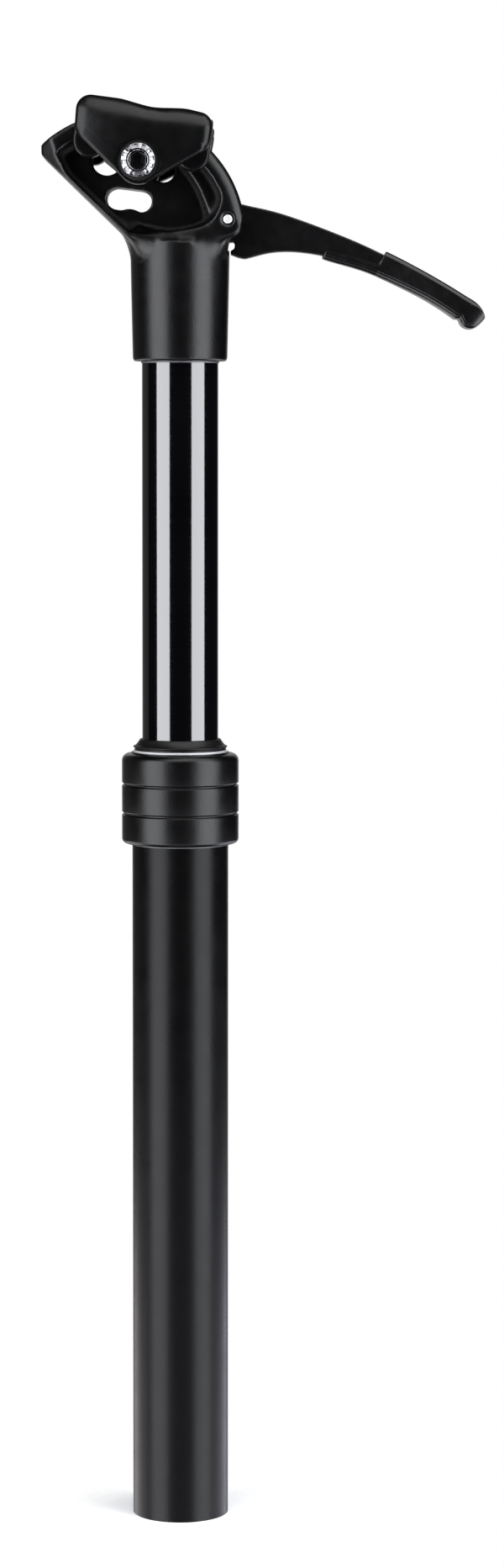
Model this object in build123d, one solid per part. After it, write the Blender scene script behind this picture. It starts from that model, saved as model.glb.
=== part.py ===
from build123d import *
from math import atan2, cos, degrees, hypot, radians, sin, sqrt, tan
import os

os.makedirs("parts", exist_ok=True)

# Dropper seatpost, in millimetres. +Z runs up the tube's axis, +X is the bicycle's front and
# +Y its left. The origin is the centre of the outer tube's bottom end.

# Fits and clearances
press_gap = 0.02
running_gap = 0.04
loose_gap = 0.3
stop_gap = 0.4
overrun = 5.0

# Outer tube and collar
tube_diameter = 31.6
tube_wall = 1.9
insert_length = 224.2
tube_end_chamfer = 0.6
tube_neck_diameter = 30.8
collar_diameter = 38.4
collar_height = 29.6
collar_lip_height = 6.2
collar_lip_width = 4.6
collar_top_round = 2.4
collar_foot_round = 1.6
collar_groove_depth = 0.55
collar_groove_width = 1.1
collar_groove_floor_share = 0.3
collar_groove_height_shares = (0.335, 0.66)
collar_seal_section = 1.1
collar_seal_height = 5.0

# Bushings, seals and stops round the stanchion
stanchion_diameter = 25.0
stanchion_wall = 1.8
upper_bushing_share = 0.476
lower_bushing_length = 15.0
wiper_ring_height = 1.1
wiper_ring_width = 1.9
wiper_diameter = 30.8
wiper_flange_height = 1.3
wiper_cone_height = 2.4
wiper_cone_foot_inset = 0.5
wiper_lip_width = 0.4
wiper_skirt_length = 5.6
wiper_skirt_width = 1.8

# Travel
travel = 122.0
socket_gap_at_full_drop = 1.1

# Keys that stop the stanchion turning
key_count = 3
key_width = 2.4
key_length_share = 0.3175
key_depth_in_stanchion = 0.9
key_depth_in_tube = 1.0
keyway_foot = 20.0

# Base of the post
circlip_height = 1.4
circlip_seat = 2.6
circlip_groove_depth = 0.9
circlip_width = 3.0
circlip_opening = 9.0
base_cap_height = 14.0
base_cap_recess_depth = 5.4
base_cap_recess_radius = 8.0
bumper_height = 11.6
bumper_width = 6.5

# Piston rod and pistons
rod_diameter = 8.0
rod_stub_diameter = 6.0
rod_stub_tip = 1.0
rod_nut_height = 4.6
rod_nut_flats = 10.0
piston_height = 10.0
piston_seal_height = 2.4
piston_seal_width = 1.4
floating_piston_height = 10.0
floating_piston_gap = 4.0
ring_height = 1.8
ring_width = 1.1

# Cartridge in the stanchion
cartridge_diameter = 20.0
cartridge_wall = 1.0
bore_diameter = 16.0
bore_tube_wall = 0.6
port_diameter = 2.0
port_count = 4
end_plug_flange_height = 5.0
end_plug_flange_width = 0.9
end_plug_thread_length = 6.0
end_plug_bore_gap = 1.0
rod_guide_height = 10.0
rod_seal_height = 3.0
rod_seal_width = 2.4
rod_seal_ledge = 5.0
oil_room_at_full_drop = 5.0

# Valve at the cartridge's top
valve_body_height = 12.0
valve_cap_height = 10.0
valve_neck_diameter = 10.4
valve_neck_height = 3.0
valve_neck_gap = 0.3
valve_chamber_diameter = 7.2
valve_chamber_roof = 4.5
valve_pin_diameter = 4.0
valve_pin_proud = 4.5
valve_pin_tail = 3.0
valve_collar_diameter = 6.6
valve_collar_height = 2.0
valve_seat_height = 2.5
valve_seat_lift = 3.5
valve_spring_wire = 0.6
valve_spring_turns = 6
valve_spring_gap = 0.25
valve_ring_height = 2.0
valve_ring_width = 1.1
valve_ring_lift = 5.0

# Head: socket
socket_foot_diameter = 30.8
socket_top_diameter = 32.2
socket_foot_round = 0.9
socket_depth = 28.3
socket_floor = 4.0
socket_shoulder_round = 2.6
socket_crown = 45.0

# Head: cradle, seen from the side
head_width = 29.0
head_arc_radius = 39.4
head_arc_x = -18.0
head_arc_lift = 39.8
head_ledge = 6.2
head_tail_x = -44.5
head_tail_slope = 43.9
head_tail_wall = 1.6
head_neck_x = -20.0
head_neck_lift = 42.3
head_neck_end_x = -16.9
head_web = 12.0
head_ledge_width = 19.0
head_edge_round = 1.0
tail_bevel_foot_x = -35.6
tail_bevel_depth = 4.2

# Head: ear for the lever's pin
pivot_x = 15.6
pivot_lift = 45.3
ear_arc_end_angle = 12.0
ear_corner_x = 19.6
ear_corner_drop = 4.6
ear_corner_radius = 3.6
ear_tip_x = 13.9
ear_tip_drop = 7.2
ear_tip_radius = 1.4
ear_heel_x = 11.4
ear_heel_drop = 5.4
ear_shelf_x = 7.0
pin_diameter = 3.0
pin_recess_diameter = 4.4
pin_recess_depth = 0.9
pin_inset = 0.4
pin_end_round = 0.5
slot_width = 7.6
slot_rear_x = -4.6
slot_roof_lift = 55.8
slot_sill_x = 12.8
slot_sill_lift = 36.0

# Head: the pocket on each side and the through holes
pocket_radius = 34.0
pocket_tail_x = -39.4
pocket_bend_x = -35.6
crease_foot_x = -16.0
crease_top_x = -13.3
crease_top_lift = 43.9
scoop_x = -3.6
scoop_lift = 41.7
scoop_end_x = 6.2
scoop_end_lift = 43.5
pocket_ear_x = 11.3
pocket_ear_rise = 1.6
pocket_ear_angle = 23.4
bolt_x = -12.8
bolt_lift = 62.8
bean_rear_x = -20.1
bean_rear_lift = 52.3
bean_front_x = -12.6
bean_front_lift = 51.4
bean_radius = 3.55
bean_waist_radius = 6.0
bean_waist_depth = 0.7
rear_hole_x = -23.5
rear_hole_lift = 64.6
rear_hole_radius = 4.9
front_hole_x = -5.3
front_hole_lift = 61.3
front_hole_radius = 3.8

# Saddle clamps
rail_diameter = 7.0
rail_spacing = 44.0
rail_tilt = 7.4
rail_x = -11.2
rail_lift = 74.3
clamp_gap = 1.6
clamp_length = 44.4
outer_clamp_depth = 6.8
outer_clamp_round = 3.6
right_boss_radius = 7.3
left_boss_radius = 5.4
clamp_crown = 7.4
clamp_corner_drop = 4.6
clamp_corner_x = 21.6
clamp_corner_round = 4.6
clamp_top_shares = ((-0.502, 1.014, 0.108), (-0.18, 1.014, 0.315), (0.045, 0.797, 0.45),
                    (0.2815, 0.96, 0.45), (0.5, 0.811, 0.108))
inner_clamp_gap = 0.2
inner_lobe_radius = 5.2
inner_lobe_x = 16.7
inner_lobe_drop = 6.9
inner_clamp_top = 5.0
inner_boss_radius = 6.0

# Clamp bolt and nut
bolt_diameter = 6.0
bolt_hole_gap = 0.15
bolt_head_diameter = 10.9
bolt_head_height = 4.2
bolt_head_round = 0.9
bolt_hex_flats = 5.0
bolt_hex_depth = 2.8
bolt_tip_inset = 1.0
washer_diameter = 13.2
washer_height = 1.2
washer_seat_depth = 2.1
nut_flange_diameter = 9.8
nut_flange_height = 2.0
nut_seat_depth = 1.6
nut_sleeve_diameter = 8.4
nut_sleeve_length = 11.5

# Lever, from its pivot
lever_width = 7.0
lever_reach = 83.4
lever_drop = 34.9
lever_nose_radius = 3.0
lever_nose_lift = 39.1
lever_stop_gap = 0.35
lever_bushing_wall = 0.9
lever_top_shares = ((0.93, -0.775), (0.76, -0.5), (0.609, -0.312), (0.511, -0.203), (0.393, -0.089),
                    (0.276, 0.014), (0.157, 0.1), (0.053, 0.155), (-0.02, 0.19), (-0.11, 0.13),
                    (-0.19, -0.03))
lever_throat_shares = ((-0.09, -0.19), (0.0, -0.2), (0.024, -0.195), (0.027, -0.225), (0.024, -0.26))
lever_stop_shares = (-0.275, -0.31)
lever_heel_shares = ((0.04, -0.337), (0.065, -0.35))
lever_belly_shares = ((0.09, -0.335), (0.138, -0.304), (0.217, -0.281), (0.335, -0.304), (0.46, -0.37),
                      (0.62, -0.49), (0.78, -0.66), (0.91, -0.845))

# Grip on the lever's outer end
grip_width = 17.0
grip_neck_width = 9.0
grip_taper_share = 0.42
grip_plan_round = 5.0
grip_flange_height = 1.2
grip_flange_step = 0.7
grip_top_shares = ((0.621, -0.282), (0.746, -0.438), (0.864, -0.602), (0.963, -0.752), (1.0, -0.875))
grip_tip_shares = ((0.985, -0.945), (0.945, -1.0), (0.918, -0.985), (0.894, -0.942))
grip_belly_shares = ((0.862, -0.862), (0.785, -0.742), (0.61, -0.539), (0.491, -0.426), (0.361, -0.344))
tongue_gap = 0.05

# Heights that follow from the sizes above
tube_radius = tube_diameter / 2
tube_bore_radius = tube_radius - tube_wall
tube_neck_radius = tube_neck_diameter / 2
stanchion_radius = stanchion_diameter / 2
stanchion_bore_radius = stanchion_radius - stanchion_wall
collar_radius = collar_diameter / 2
collar_top = insert_length + collar_height
tube_top = collar_top - collar_lip_height
wiper_ring_top = collar_top + wiper_ring_height
wiper_flange_top = wiper_ring_top + wiper_flange_height
wiper_top = wiper_flange_top + wiper_cone_height
socket_foot = wiper_top + travel + socket_gap_at_full_drop
stanchion_top = socket_foot + socket_depth
slot_floor = stanchion_top + socket_floor

base_cap_foot = circlip_seat + circlip_height
base_cap_top = base_cap_foot + base_cap_height
bumper_top = base_cap_top + bumper_height
end_plug_foot = bumper_top + stop_gap + travel
stanchion_foot = end_plug_foot + end_plug_flange_height
lower_bushing_top = stanchion_foot + lower_bushing_length
bushing_room = tube_top - lower_bushing_top
key_length = key_length_share * bushing_room
key_foot = lower_bushing_top + stop_gap
key_top = key_foot + key_length
upper_bushing_foot = tube_top - upper_bushing_share * bushing_room
key_reach = stanchion_radius - key_depth_in_stanchion

cartridge_radius = cartridge_diameter / 2
cartridge_bore_radius = cartridge_radius - cartridge_wall
bore_radius = bore_diameter / 2
bore_tube_radius = bore_radius + bore_tube_wall
cartridge_foot = stanchion_foot + end_plug_thread_length
rod_guide_top = cartridge_foot + rod_guide_height
valve_cap_foot = stanchion_top - valve_cap_height
valve_foot = valve_cap_foot - valve_body_height
valve_neck_top = stanchion_top + valve_neck_height
valve_pin_top = valve_neck_top + valve_pin_proud
chamber_roof = valve_neck_top - valve_chamber_roof

rod_radius = rod_diameter / 2
rod_stub_radius = rod_stub_diameter / 2
rod_nut_foot = base_cap_foot + base_cap_recess_depth - rod_nut_height
rod_tip = valve_foot - travel - oil_room_at_full_drop
piston_nut_top = rod_tip - rod_stub_tip
piston_top = piston_nut_top - rod_nut_height
piston_foot = piston_top - piston_height
floating_piston_top = piston_foot - floating_piston_gap
floating_piston_foot = floating_piston_top - floating_piston_height

socket_foot_radius = socket_foot_diameter / 2
socket_top_radius = socket_top_diameter / 2
arc_centre_z = socket_foot + head_arc_lift
pivot_z = socket_foot + pivot_lift
bolt_z = socket_foot + bolt_lift
rail_z = socket_foot + rail_lift
rail_y = rail_spacing / 2
rail_radius = rail_diameter / 2
half_head = head_width / 2


def disc(radius, low, high):
    """A solid cylinder about the tube's axis."""
    body = Cylinder(radius, high - low, align=(Align.CENTER, Align.CENTER, Align.MIN))
    return Pos(0, 0, low) * body


def ring(outer_radius, inner_radius, low, high):
    """A plain ring about the tube's axis."""
    return disc(outer_radius, low, high) - disc(inner_radius, low, high)


def turned(points):
    """A body turned about the tube's axis, from (radius, height) points."""
    face = make_face(Polyline(*points, close=True))
    return revolve(Plane.XZ * face, Axis.Z)


def cross_bar(radius, x, z, length):
    """A round bar across the head, along Y and centred on it."""
    return Pos(x, 0, z) * Rot(90, 0, 0) * Cylinder(radius, length)


def side_plate(face, depth):
    """A plate from a side view drawn in X and Z, centred on the middle plane."""
    return extrude(Plane.XZ * face, depth / 2, both=True)


def make_outer_tube():
    tube = ring(tube_radius, tube_bore_radius, 0, insert_length)
    tube = chamfer(tube.edges().group_by(Axis.Z)[0].sort_by(SortBy.LENGTH)[0], tube_end_chamfer)
    tube += ring(tube_neck_radius, tube_bore_radius, insert_length, tube_top)
    groove = ring(tube_bore_radius + circlip_groove_depth, tube_bore_radius - tube_wall,
                  circlip_seat - press_gap, circlip_seat + circlip_height)
    tube -= groove
    keyway_length = tube_top + overrun - keyway_foot
    keyway = Box(2 * key_depth_in_tube, key_width + 2 * running_gap, keyway_length,
                 align=(Align.CENTER, Align.CENTER, Align.MIN))
    for turn in range(key_count):
        tube -= Rot(0, 0, turn * 360 / key_count) * Pos(tube_bore_radius, 0, keyway_foot) * keyway
    return tube


def make_collar():
    collar = disc(collar_radius, insert_length, collar_top)
    collar = fillet(collar.edges().group_by(Axis.Z)[-1], collar_top_round)
    collar = fillet(collar.edges().group_by(Axis.Z)[0], collar_foot_round)
    collar -= disc(tube_neck_radius + press_gap, insert_length - overrun, tube_top)
    collar -= disc(collar_radius - collar_lip_width, tube_top - overrun, collar_top + overrun)
    half_floor = collar_groove_width * collar_groove_floor_share / 2
    half_mouth = collar_groove_width / 2
    for share in collar_groove_height_shares:
        middle = insert_length + share * collar_height
        floor_radius = collar_radius - collar_groove_depth
        collar -= turned([(collar_radius + press_gap, middle - half_mouth),
                          (floor_radius, middle - half_floor),
                          (floor_radius, middle + half_floor),
                          (collar_radius + press_gap, middle + half_mouth)])
    seal_foot = insert_length + collar_seal_height
    seal_radius = tube_neck_radius + collar_seal_section
    collar -= ring(seal_radius + press_gap, tube_neck_radius - press_gap,
                   seal_foot - press_gap, seal_foot + collar_seal_section + press_gap)
    return collar


def make_collar_seal_ring():
    seal_foot = insert_length + collar_seal_height
    seal = ring(tube_neck_radius + collar_seal_section, tube_neck_radius + press_gap,
                seal_foot, seal_foot + collar_seal_section)
    return fillet(seal.edges(), collar_seal_section / 4)


def make_wiper_ring():
    outer = wiper_diameter / 2
    wiper_ring = ring(outer, outer - wiper_ring_width, collar_top, wiper_ring_top)
    return fillet(wiper_ring.edges().group_by(Axis.Z)[-1].sort_by(SortBy.LENGTH)[-1],
                  wiper_ring_height / 3)


def make_wiper_seal():
    lip = stanchion_radius + running_gap
    outer = wiper_diameter / 2
    skirt_foot = collar_top - wiper_skirt_length
    skirt_radius = collar_radius - collar_lip_width - press_gap
    ring_bore = outer - wiper_ring_width - press_gap
    return turned([
        (skirt_radius - wiper_skirt_width, skirt_foot),
        (skirt_radius, skirt_foot),
        (skirt_radius, collar_top),
        (min(skirt_radius, ring_bore), collar_top),
        (min(skirt_radius, ring_bore), wiper_ring_top),
        (outer, wiper_ring_top),
        (outer, wiper_flange_top - wiper_cone_foot_inset),
        (outer - wiper_cone_foot_inset, wiper_flange_top),
        (lip + wiper_lip_width, wiper_top),
        (lip, wiper_top),
        (lip, wiper_ring_top),
    ])


def make_upper_bushing():
    return ring(tube_bore_radius - press_gap, stanchion_radius + running_gap,
                upper_bushing_foot, tube_top)


def make_top_out_ring():
    ring_foot = key_top + stop_gap
    bumper = ring(tube_bore_radius - loose_gap, stanchion_radius + running_gap,
                  ring_foot, upper_bushing_foot)
    return bumper


def make_base_cap():
    cap = disc(tube_bore_radius - press_gap, base_cap_foot, base_cap_top)
    cap -= disc(base_cap_recess_radius, base_cap_foot - overrun, base_cap_foot + base_cap_recess_depth)
    cap -= disc(rod_stub_radius + press_gap, base_cap_foot, base_cap_top + overrun)
    return cap


def make_base_circlip():
    outer = tube_bore_radius + circlip_groove_depth - press_gap
    clip = ring(outer, tube_bore_radius - circlip_width, circlip_seat, base_cap_foot - press_gap)
    gap = Box(tube_radius, circlip_opening, circlip_height, align=(Align.MIN, Align.CENTER, Align.MIN))
    return clip - Pos(0, 0, circlip_seat) * gap


def make_bottom_bumper():
    outer = rod_radius + loose_gap + bumper_width
    bumper = ring(outer, rod_radius + loose_gap, base_cap_top, bumper_top)
    return fillet(bumper.edges().group_by(Axis.Z)[-1], bumper_width / 6)


def make_piston_rod():
    rod = disc(rod_radius, base_cap_top, piston_foot)
    rod += disc(rod_stub_radius, rod_nut_foot - rod_stub_tip, base_cap_top)
    rod += disc(rod_stub_radius, piston_foot, rod_tip)
    return rod


def hex_nut(low, high):
    """A plain hexagon nut on one of the rod's stubs."""
    nut = extrude(RegularPolygon(rod_nut_flats / 2, 6, major_radius=False), high - low)
    nut -= disc(rod_stub_radius + press_gap, 0, high - low)
    return Pos(0, 0, low) * nut


def make_rod_nuts():
    lower = hex_nut(rod_nut_foot, base_cap_foot + base_cap_recess_depth)
    upper = hex_nut(piston_top, piston_nut_top)
    return lower, upper


def make_main_piston():
    piston = ring(bore_radius - running_gap, rod_stub_radius + press_gap, piston_foot, piston_top)
    seal_foot = (piston_foot + piston_top - piston_seal_height) / 2
    piston -= ring(bore_radius, bore_radius - piston_seal_width,
                   seal_foot, seal_foot + piston_seal_height)
    return piston


def make_piston_seal():
    seal_foot = (piston_foot + piston_top - piston_seal_height) / 2
    return ring(bore_radius - running_gap, bore_radius - piston_seal_width + press_gap,
                seal_foot + press_gap, seal_foot + piston_seal_height - press_gap)


def make_floating_piston():
    piston = ring(bore_radius - running_gap, rod_radius + running_gap,
                  floating_piston_foot, floating_piston_top)
    middle = (floating_piston_foot + floating_piston_top - ring_height) / 2
    piston -= ring(bore_radius, bore_radius - ring_width, middle, middle + ring_height)
    piston -= ring(rod_radius + ring_width, rod_radius, middle, middle + ring_height)
    return piston


def make_floating_piston_rings():
    middle = (floating_piston_foot + floating_piston_top - ring_height) / 2
    low = middle + press_gap
    high = middle + ring_height - press_gap
    outer = ring(bore_radius - running_gap, bore_radius - ring_width + press_gap, low, high)
    inner = ring(rod_radius + ring_width - press_gap, rod_radius + running_gap, low, high)
    return Compound(children=[outer, inner])


def make_stanchion():
    tube = ring(stanchion_radius, stanchion_bore_radius, stanchion_foot, stanchion_top)
    slot = Box(2 * key_depth_in_stanchion, key_width, key_length,
               align=(Align.CENTER, Align.CENTER, Align.MIN))
    for turn in range(key_count):
        tube -= Rot(0, 0, turn * 360 / key_count) * Pos(stanchion_radius, 0, key_foot) * slot
    return tube


def make_rotation_keys():
    depth = tube_bore_radius + key_depth_in_tube - running_gap - key_reach
    bar = Box(depth, key_width - press_gap, key_length - press_gap,
              align=(Align.MIN, Align.CENTER, Align.MIN))
    bars = [Rot(0, 0, turn * 360 / key_count) * Pos(key_reach, 0, key_foot) * bar
            for turn in range(key_count)]
    return Compound(children=bars)


def make_lower_bushing():
    return ring(tube_bore_radius - running_gap, stanchion_radius + press_gap,
                stanchion_foot, lower_bushing_top)


def make_end_plug():
    plug = disc(stanchion_radius + end_plug_flange_width, end_plug_foot, stanchion_foot)
    plug += disc(stanchion_bore_radius - press_gap, stanchion_foot, cartridge_foot)
    plug -= disc(rod_radius + end_plug_bore_gap, end_plug_foot - overrun, cartridge_foot + overrun)
    return plug


def make_cartridge_tube():
    return ring(cartridge_radius, cartridge_bore_radius, cartridge_foot, valve_cap_foot)


def make_bore_tube():
    tube = ring(bore_tube_radius, bore_radius, rod_guide_top, valve_foot)
    port_z = piston_foot - floating_piston_gap / 2
    port = Rot(0, 90, 0) * Cylinder(port_diameter / 2, bore_diameter,
                                    align=(Align.CENTER, Align.CENTER, Align.MIN))
    for turn in range(port_count):
        tube -= Rot(0, 0, turn * 360 / port_count) * Pos(0, 0, port_z) * port
    return tube


def make_rod_guide():
    guide = ring(cartridge_bore_radius - press_gap, rod_radius + running_gap,
                 cartridge_foot, rod_guide_top)
    guide -= disc(rod_radius + rod_seal_width, cartridge_foot + rod_seal_ledge, rod_guide_top + overrun)
    return guide


def make_rod_seal():
    seal_foot = cartridge_foot + rod_seal_ledge
    return ring(rod_radius + rod_seal_width - press_gap, rod_radius + running_gap,
                seal_foot, seal_foot + rod_seal_height)


def make_valve_body():
    body = disc(cartridge_bore_radius - press_gap, valve_foot, valve_cap_foot)
    body += disc(stanchion_bore_radius - press_gap, valve_cap_foot, stanchion_top)
    body += disc(valve_neck_diameter / 2, stanchion_top, valve_neck_top)
    body -= disc(valve_chamber_diameter / 2, valve_foot - overrun, chamber_roof)
    body -= disc(valve_pin_diameter / 2 + running_gap, chamber_roof, valve_neck_top + overrun)
    ring_foot = valve_foot + valve_ring_lift
    body -= ring(cartridge_bore_radius, cartridge_bore_radius - valve_ring_width,
                 ring_foot, ring_foot + valve_ring_height)
    port = Rot(0, 90, 0) * Cylinder(port_diameter / 2, cartridge_radius,
                                    align=(Align.CENTER, Align.CENTER, Align.MIN))
    for turn in range(port_count):
        body -= Rot(0, 0, turn * 360 / port_count) * Pos(0, 0, valve_foot + port_diameter) * port
    return body


def make_valve_seal_ring():
    ring_foot = valve_foot + valve_ring_lift
    return ring(cartridge_bore_radius - press_gap, cartridge_bore_radius - valve_ring_width + press_gap,
                ring_foot + press_gap, ring_foot + valve_ring_height - press_gap)


def make_valve_seat():
    seat_foot = valve_foot + valve_seat_lift
    return ring(valve_chamber_diameter / 2 - press_gap, valve_pin_diameter / 2 + running_gap,
                seat_foot, seat_foot + valve_seat_height)


def make_valve_pin():
    pin = disc(valve_pin_diameter / 2, valve_foot + valve_pin_tail, valve_pin_top)
    pin = fillet(pin.edges().group_by(Axis.Z)[-1], valve_pin_diameter / 5)
    collar_top_z = chamber_roof - press_gap
    pin += disc(valve_collar_diameter / 2, collar_top_z - valve_collar_height, collar_top_z)
    return pin


def make_valve_spring():
    low = valve_foot + valve_seat_lift + valve_seat_height + valve_spring_gap + valve_spring_wire / 2
    high = (chamber_roof - press_gap - valve_collar_height - valve_spring_gap
            - valve_spring_wire / 2)
    coil_radius = valve_chamber_diameter / 2 - valve_spring_gap - valve_spring_wire / 2
    pitch = (high - low) / valve_spring_turns
    path = Helix(pitch, high - low, coil_radius)
    section = Plane(path @ 0, z_dir=path % 0) * Circle(valve_spring_wire / 2)
    return Pos(0, 0, low) * sweep(section, path)


def tail_line_z(x):
    """Height of the sloping underside of the head's tail at x."""
    return socket_foot + head_neck_lift - (x - head_neck_x) * tan(radians(head_tail_slope))


def arc_point(radius, angle):
    """A point at an angle on a circle about the head arc's centre."""
    return (head_arc_x + radius * cos(radians(angle)), arc_centre_z + radius * sin(radians(angle)))


def make_socket():
    crown = socket_foot + socket_crown
    body = turned([(0, socket_foot), (socket_foot_radius, socket_foot),
                   (socket_top_radius, slot_floor), (socket_top_radius, crown), (0, crown)])
    body = fillet(body.edges().filter_by(GeomType.CIRCLE).group_by(Axis.Z)[0], socket_foot_round)
    rims = body.edges().filter_by(GeomType.CIRCLE).group_by(Axis.Z)
    return fillet(rims[-1], socket_shoulder_round)


def rounded_corner(face, point, radius):
    """The face with its corner nearest to a point rounded off."""
    corner = face.vertices().sort_by_distance(Vector(*point))[0]
    return fillet(corner, radius)


def cradle_face(foot_points):
    """Side view of the head from the tail round the arc to the ear, closed along foot_points."""
    tail_foot = (head_tail_x, tail_line_z(head_tail_x))
    tail_top = (head_tail_x, arc_centre_z + sqrt(head_arc_radius**2 - (head_tail_x - head_arc_x) ** 2))
    arc_top = (head_arc_x, arc_centre_z + head_arc_radius)
    ear_top = arc_point(head_arc_radius, ear_arc_end_angle)
    ear_corner = (ear_corner_x, pivot_z - ear_corner_drop)
    ear_tip = (ear_tip_x, pivot_z - ear_tip_drop)
    outline = Line(tail_foot, tail_top)
    outline += ThreePointArc(tail_top, arc_top, ear_top)
    outline += Polyline(ear_top, ear_corner, ear_tip, *foot_points, tail_foot)
    face = rounded_corner(make_face(outline), ear_corner, ear_corner_radius)
    return rounded_corner(face, ear_tip, ear_tip_radius)


def pocket_face():
    """Side view of the pocket between the arc, the tail's wall and the socket's shoulder."""
    inset = head_tail_wall / cos(radians(head_tail_slope))
    tail_corner = (pocket_tail_x,
                   arc_centre_z + sqrt(pocket_radius**2 - (pocket_tail_x - head_arc_x) ** 2))
    tail_bend = (pocket_bend_x, tail_line_z(pocket_bend_x) + inset)
    crease_foot = (crease_foot_x, tail_line_z(crease_foot_x) + inset)
    crease_top = (crease_top_x, socket_foot + crease_top_lift)
    scoop_low = (scoop_x, socket_foot + scoop_lift)
    scoop_end = (scoop_end_x, socket_foot + scoop_end_lift)
    ear_bend = (pocket_ear_x, pivot_z + pocket_ear_rise)
    ear_end = arc_point(pocket_radius, pocket_ear_angle)
    top = (head_arc_x, arc_centre_z + pocket_radius)
    outline = Polyline(tail_corner, tail_bend, crease_foot, crease_top)
    outline += ThreePointArc(crease_top, scoop_low, scoop_end)
    outline += ThreePointArc(scoop_end, ear_bend, ear_end)
    outline += ThreePointArc(ear_end, top, tail_corner)
    return make_face(outline)


def bean_face():
    """Side view of the waisted hole in the web."""
    rear = (bean_rear_x, socket_foot + bean_rear_lift)
    front = (bean_front_x, socket_foot + bean_front_lift)
    lean = atan2(front[1] - rear[1], front[0] - rear[0])
    middle = ((rear[0] + front[0]) / 2, (rear[1] + front[1]) / 2)
    length = hypot(front[0] - rear[0], front[1] - rear[1])
    slot = Pos(*middle) * Rot(0, 0, degrees(lean)) * SlotCenterToCenter(length, 2 * bean_radius)
    waist_z = middle[1] - bean_radius - bean_waist_radius + bean_waist_depth
    return slot - Pos(middle[0], waist_z) * Circle(bean_waist_radius)


def make_tail_bevel():
    """The wedge cut from the tail's right corner, which widens towards its tip."""
    low = Vector(tail_bevel_foot_x, -half_head, tail_line_z(tail_bevel_foot_x))
    high = Vector(pocket_tail_x, -half_head,
                  arc_centre_z + sqrt(pocket_radius**2 - (pocket_tail_x - head_arc_x) ** 2))
    tip = Vector(head_tail_x, tail_bevel_depth - half_head, high.Z)
    outward = (high - low).cross(tip - low)
    plane = Plane(origin=low, x_dir=high - low, z_dir=outward)
    return extrude(plane * Rectangle(4 * half_head, 4 * half_head), half_head)


def make_head():
    ear_heel = (ear_heel_x, pivot_z - ear_heel_drop)
    shelf = (ear_shelf_x, socket_foot + crease_top_lift)
    crease_top = (crease_top_x, socket_foot + crease_top_lift)
    neck = (head_neck_end_x, tail_line_z(head_neck_end_x))
    rim = side_plate(cradle_face([ear_heel, shelf, crease_top, neck]), head_width)
    sides = rim.faces().sort_by(Axis.Y)
    rim = fillet(sides[0].edges() + sides[-1].edges(), head_edge_round)
    web = side_plate(cradle_face([ear_heel, (0, slot_floor), neck]), head_web)
    head = make_socket() + rim + web

    pocket = pocket_face()
    ledge = Pos(head_arc_x - head_ledge, arc_centre_z) * Circle(pocket_radius)
    deep_pocket = pocket & ledge
    depth = collar_radius - head_ledge_width / 2
    deep = collar_radius - head_web / 2
    for side in (-1, 1):
        outer = Pos(0, side * (head_ledge_width + depth) / 2, 0)
        head -= outer * side_plate(pocket, depth)
        inner = Pos(0, side * (head_web + deep) / 2, 0)
        head -= inner * side_plate(deep_pocket, deep)
    bevel = make_tail_bevel()
    head -= bevel
    head -= mirror(bevel, Plane.XZ)

    head -= disc(stanchion_radius + press_gap, socket_foot - overrun, stanchion_top)
    head -= disc(valve_neck_diameter / 2 + valve_neck_gap, stanchion_top - overrun, slot_floor)
    slot_roof = socket_foot + slot_roof_lift
    for rear, floor in ((slot_rear_x, slot_floor), (slot_sill_x, socket_foot + slot_sill_lift)):
        front = slot_sill_x if rear == slot_rear_x else head_arc_radius
        slot = Box(front - rear, slot_width, slot_roof - floor, align=(Align.MIN, Align.CENTER, Align.MIN))
        head -= Pos(rear, 0, floor) * slot

    head -= side_plate(bean_face(), head_width)
    head -= cross_bar(rear_hole_radius, rear_hole_x, socket_foot + rear_hole_lift, head_width)
    head -= cross_bar(front_hole_radius, front_hole_x, socket_foot + front_hole_lift, head_width)
    head -= cross_bar(bolt_diameter / 2 + bolt_hole_gap, bolt_x, bolt_z, head_width)
    head -= cross_bar(pin_diameter / 2 + press_gap, pivot_x, pivot_z, head_width)
    for side in (-1, 1):
        recess = cross_bar(pin_recess_diameter / 2, pivot_x, pivot_z, 2 * pin_recess_depth)
        head -= Pos(0, side * half_head, 0) * recess
    return head


def from_pivot(share):
    """A point in the side view, given in shares of the lever's reach and drop."""
    return (pivot_x + share[0] * lever_reach, pivot_z + share[1] * lever_drop)


def lever_face():
    """Side view of the lever's blade."""
    nose_z = socket_foot + lever_nose_lift
    nose_rear = (-lever_nose_radius, nose_z)
    nose_foot = (0, nose_z - lever_nose_radius)
    nose_front = (lever_nose_radius * cos(radians(30)), nose_z - lever_nose_radius * sin(radians(30)))
    top = [from_pivot(share) for share in lever_top_shares]
    stop_x = socket_top_radius + lever_stop_gap
    stop = [(stop_x, from_pivot((0, share))[1]) for share in lever_stop_shares]
    throat = [from_pivot(share) for share in lever_throat_shares]
    heel = [from_pivot(share) for share in lever_heel_shares]
    belly = [from_pivot(share) for share in lever_belly_shares]
    outline = Spline(*top, nose_rear)
    outline += ThreePointArc(nose_rear, nose_foot, nose_front)
    outline += Polyline(nose_front, *throat, *stop, *heel)
    outline += Spline(heel[-1], *belly)
    outline += Line(belly[-1], top[0])
    return make_face(outline)


def make_lever_pin():
    pin = cross_bar(pin_diameter / 2, pivot_x, pivot_z, head_width - 2 * pin_inset)
    return fillet(pin.edges().filter_by(GeomType.CIRCLE), pin_end_round)


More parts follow.
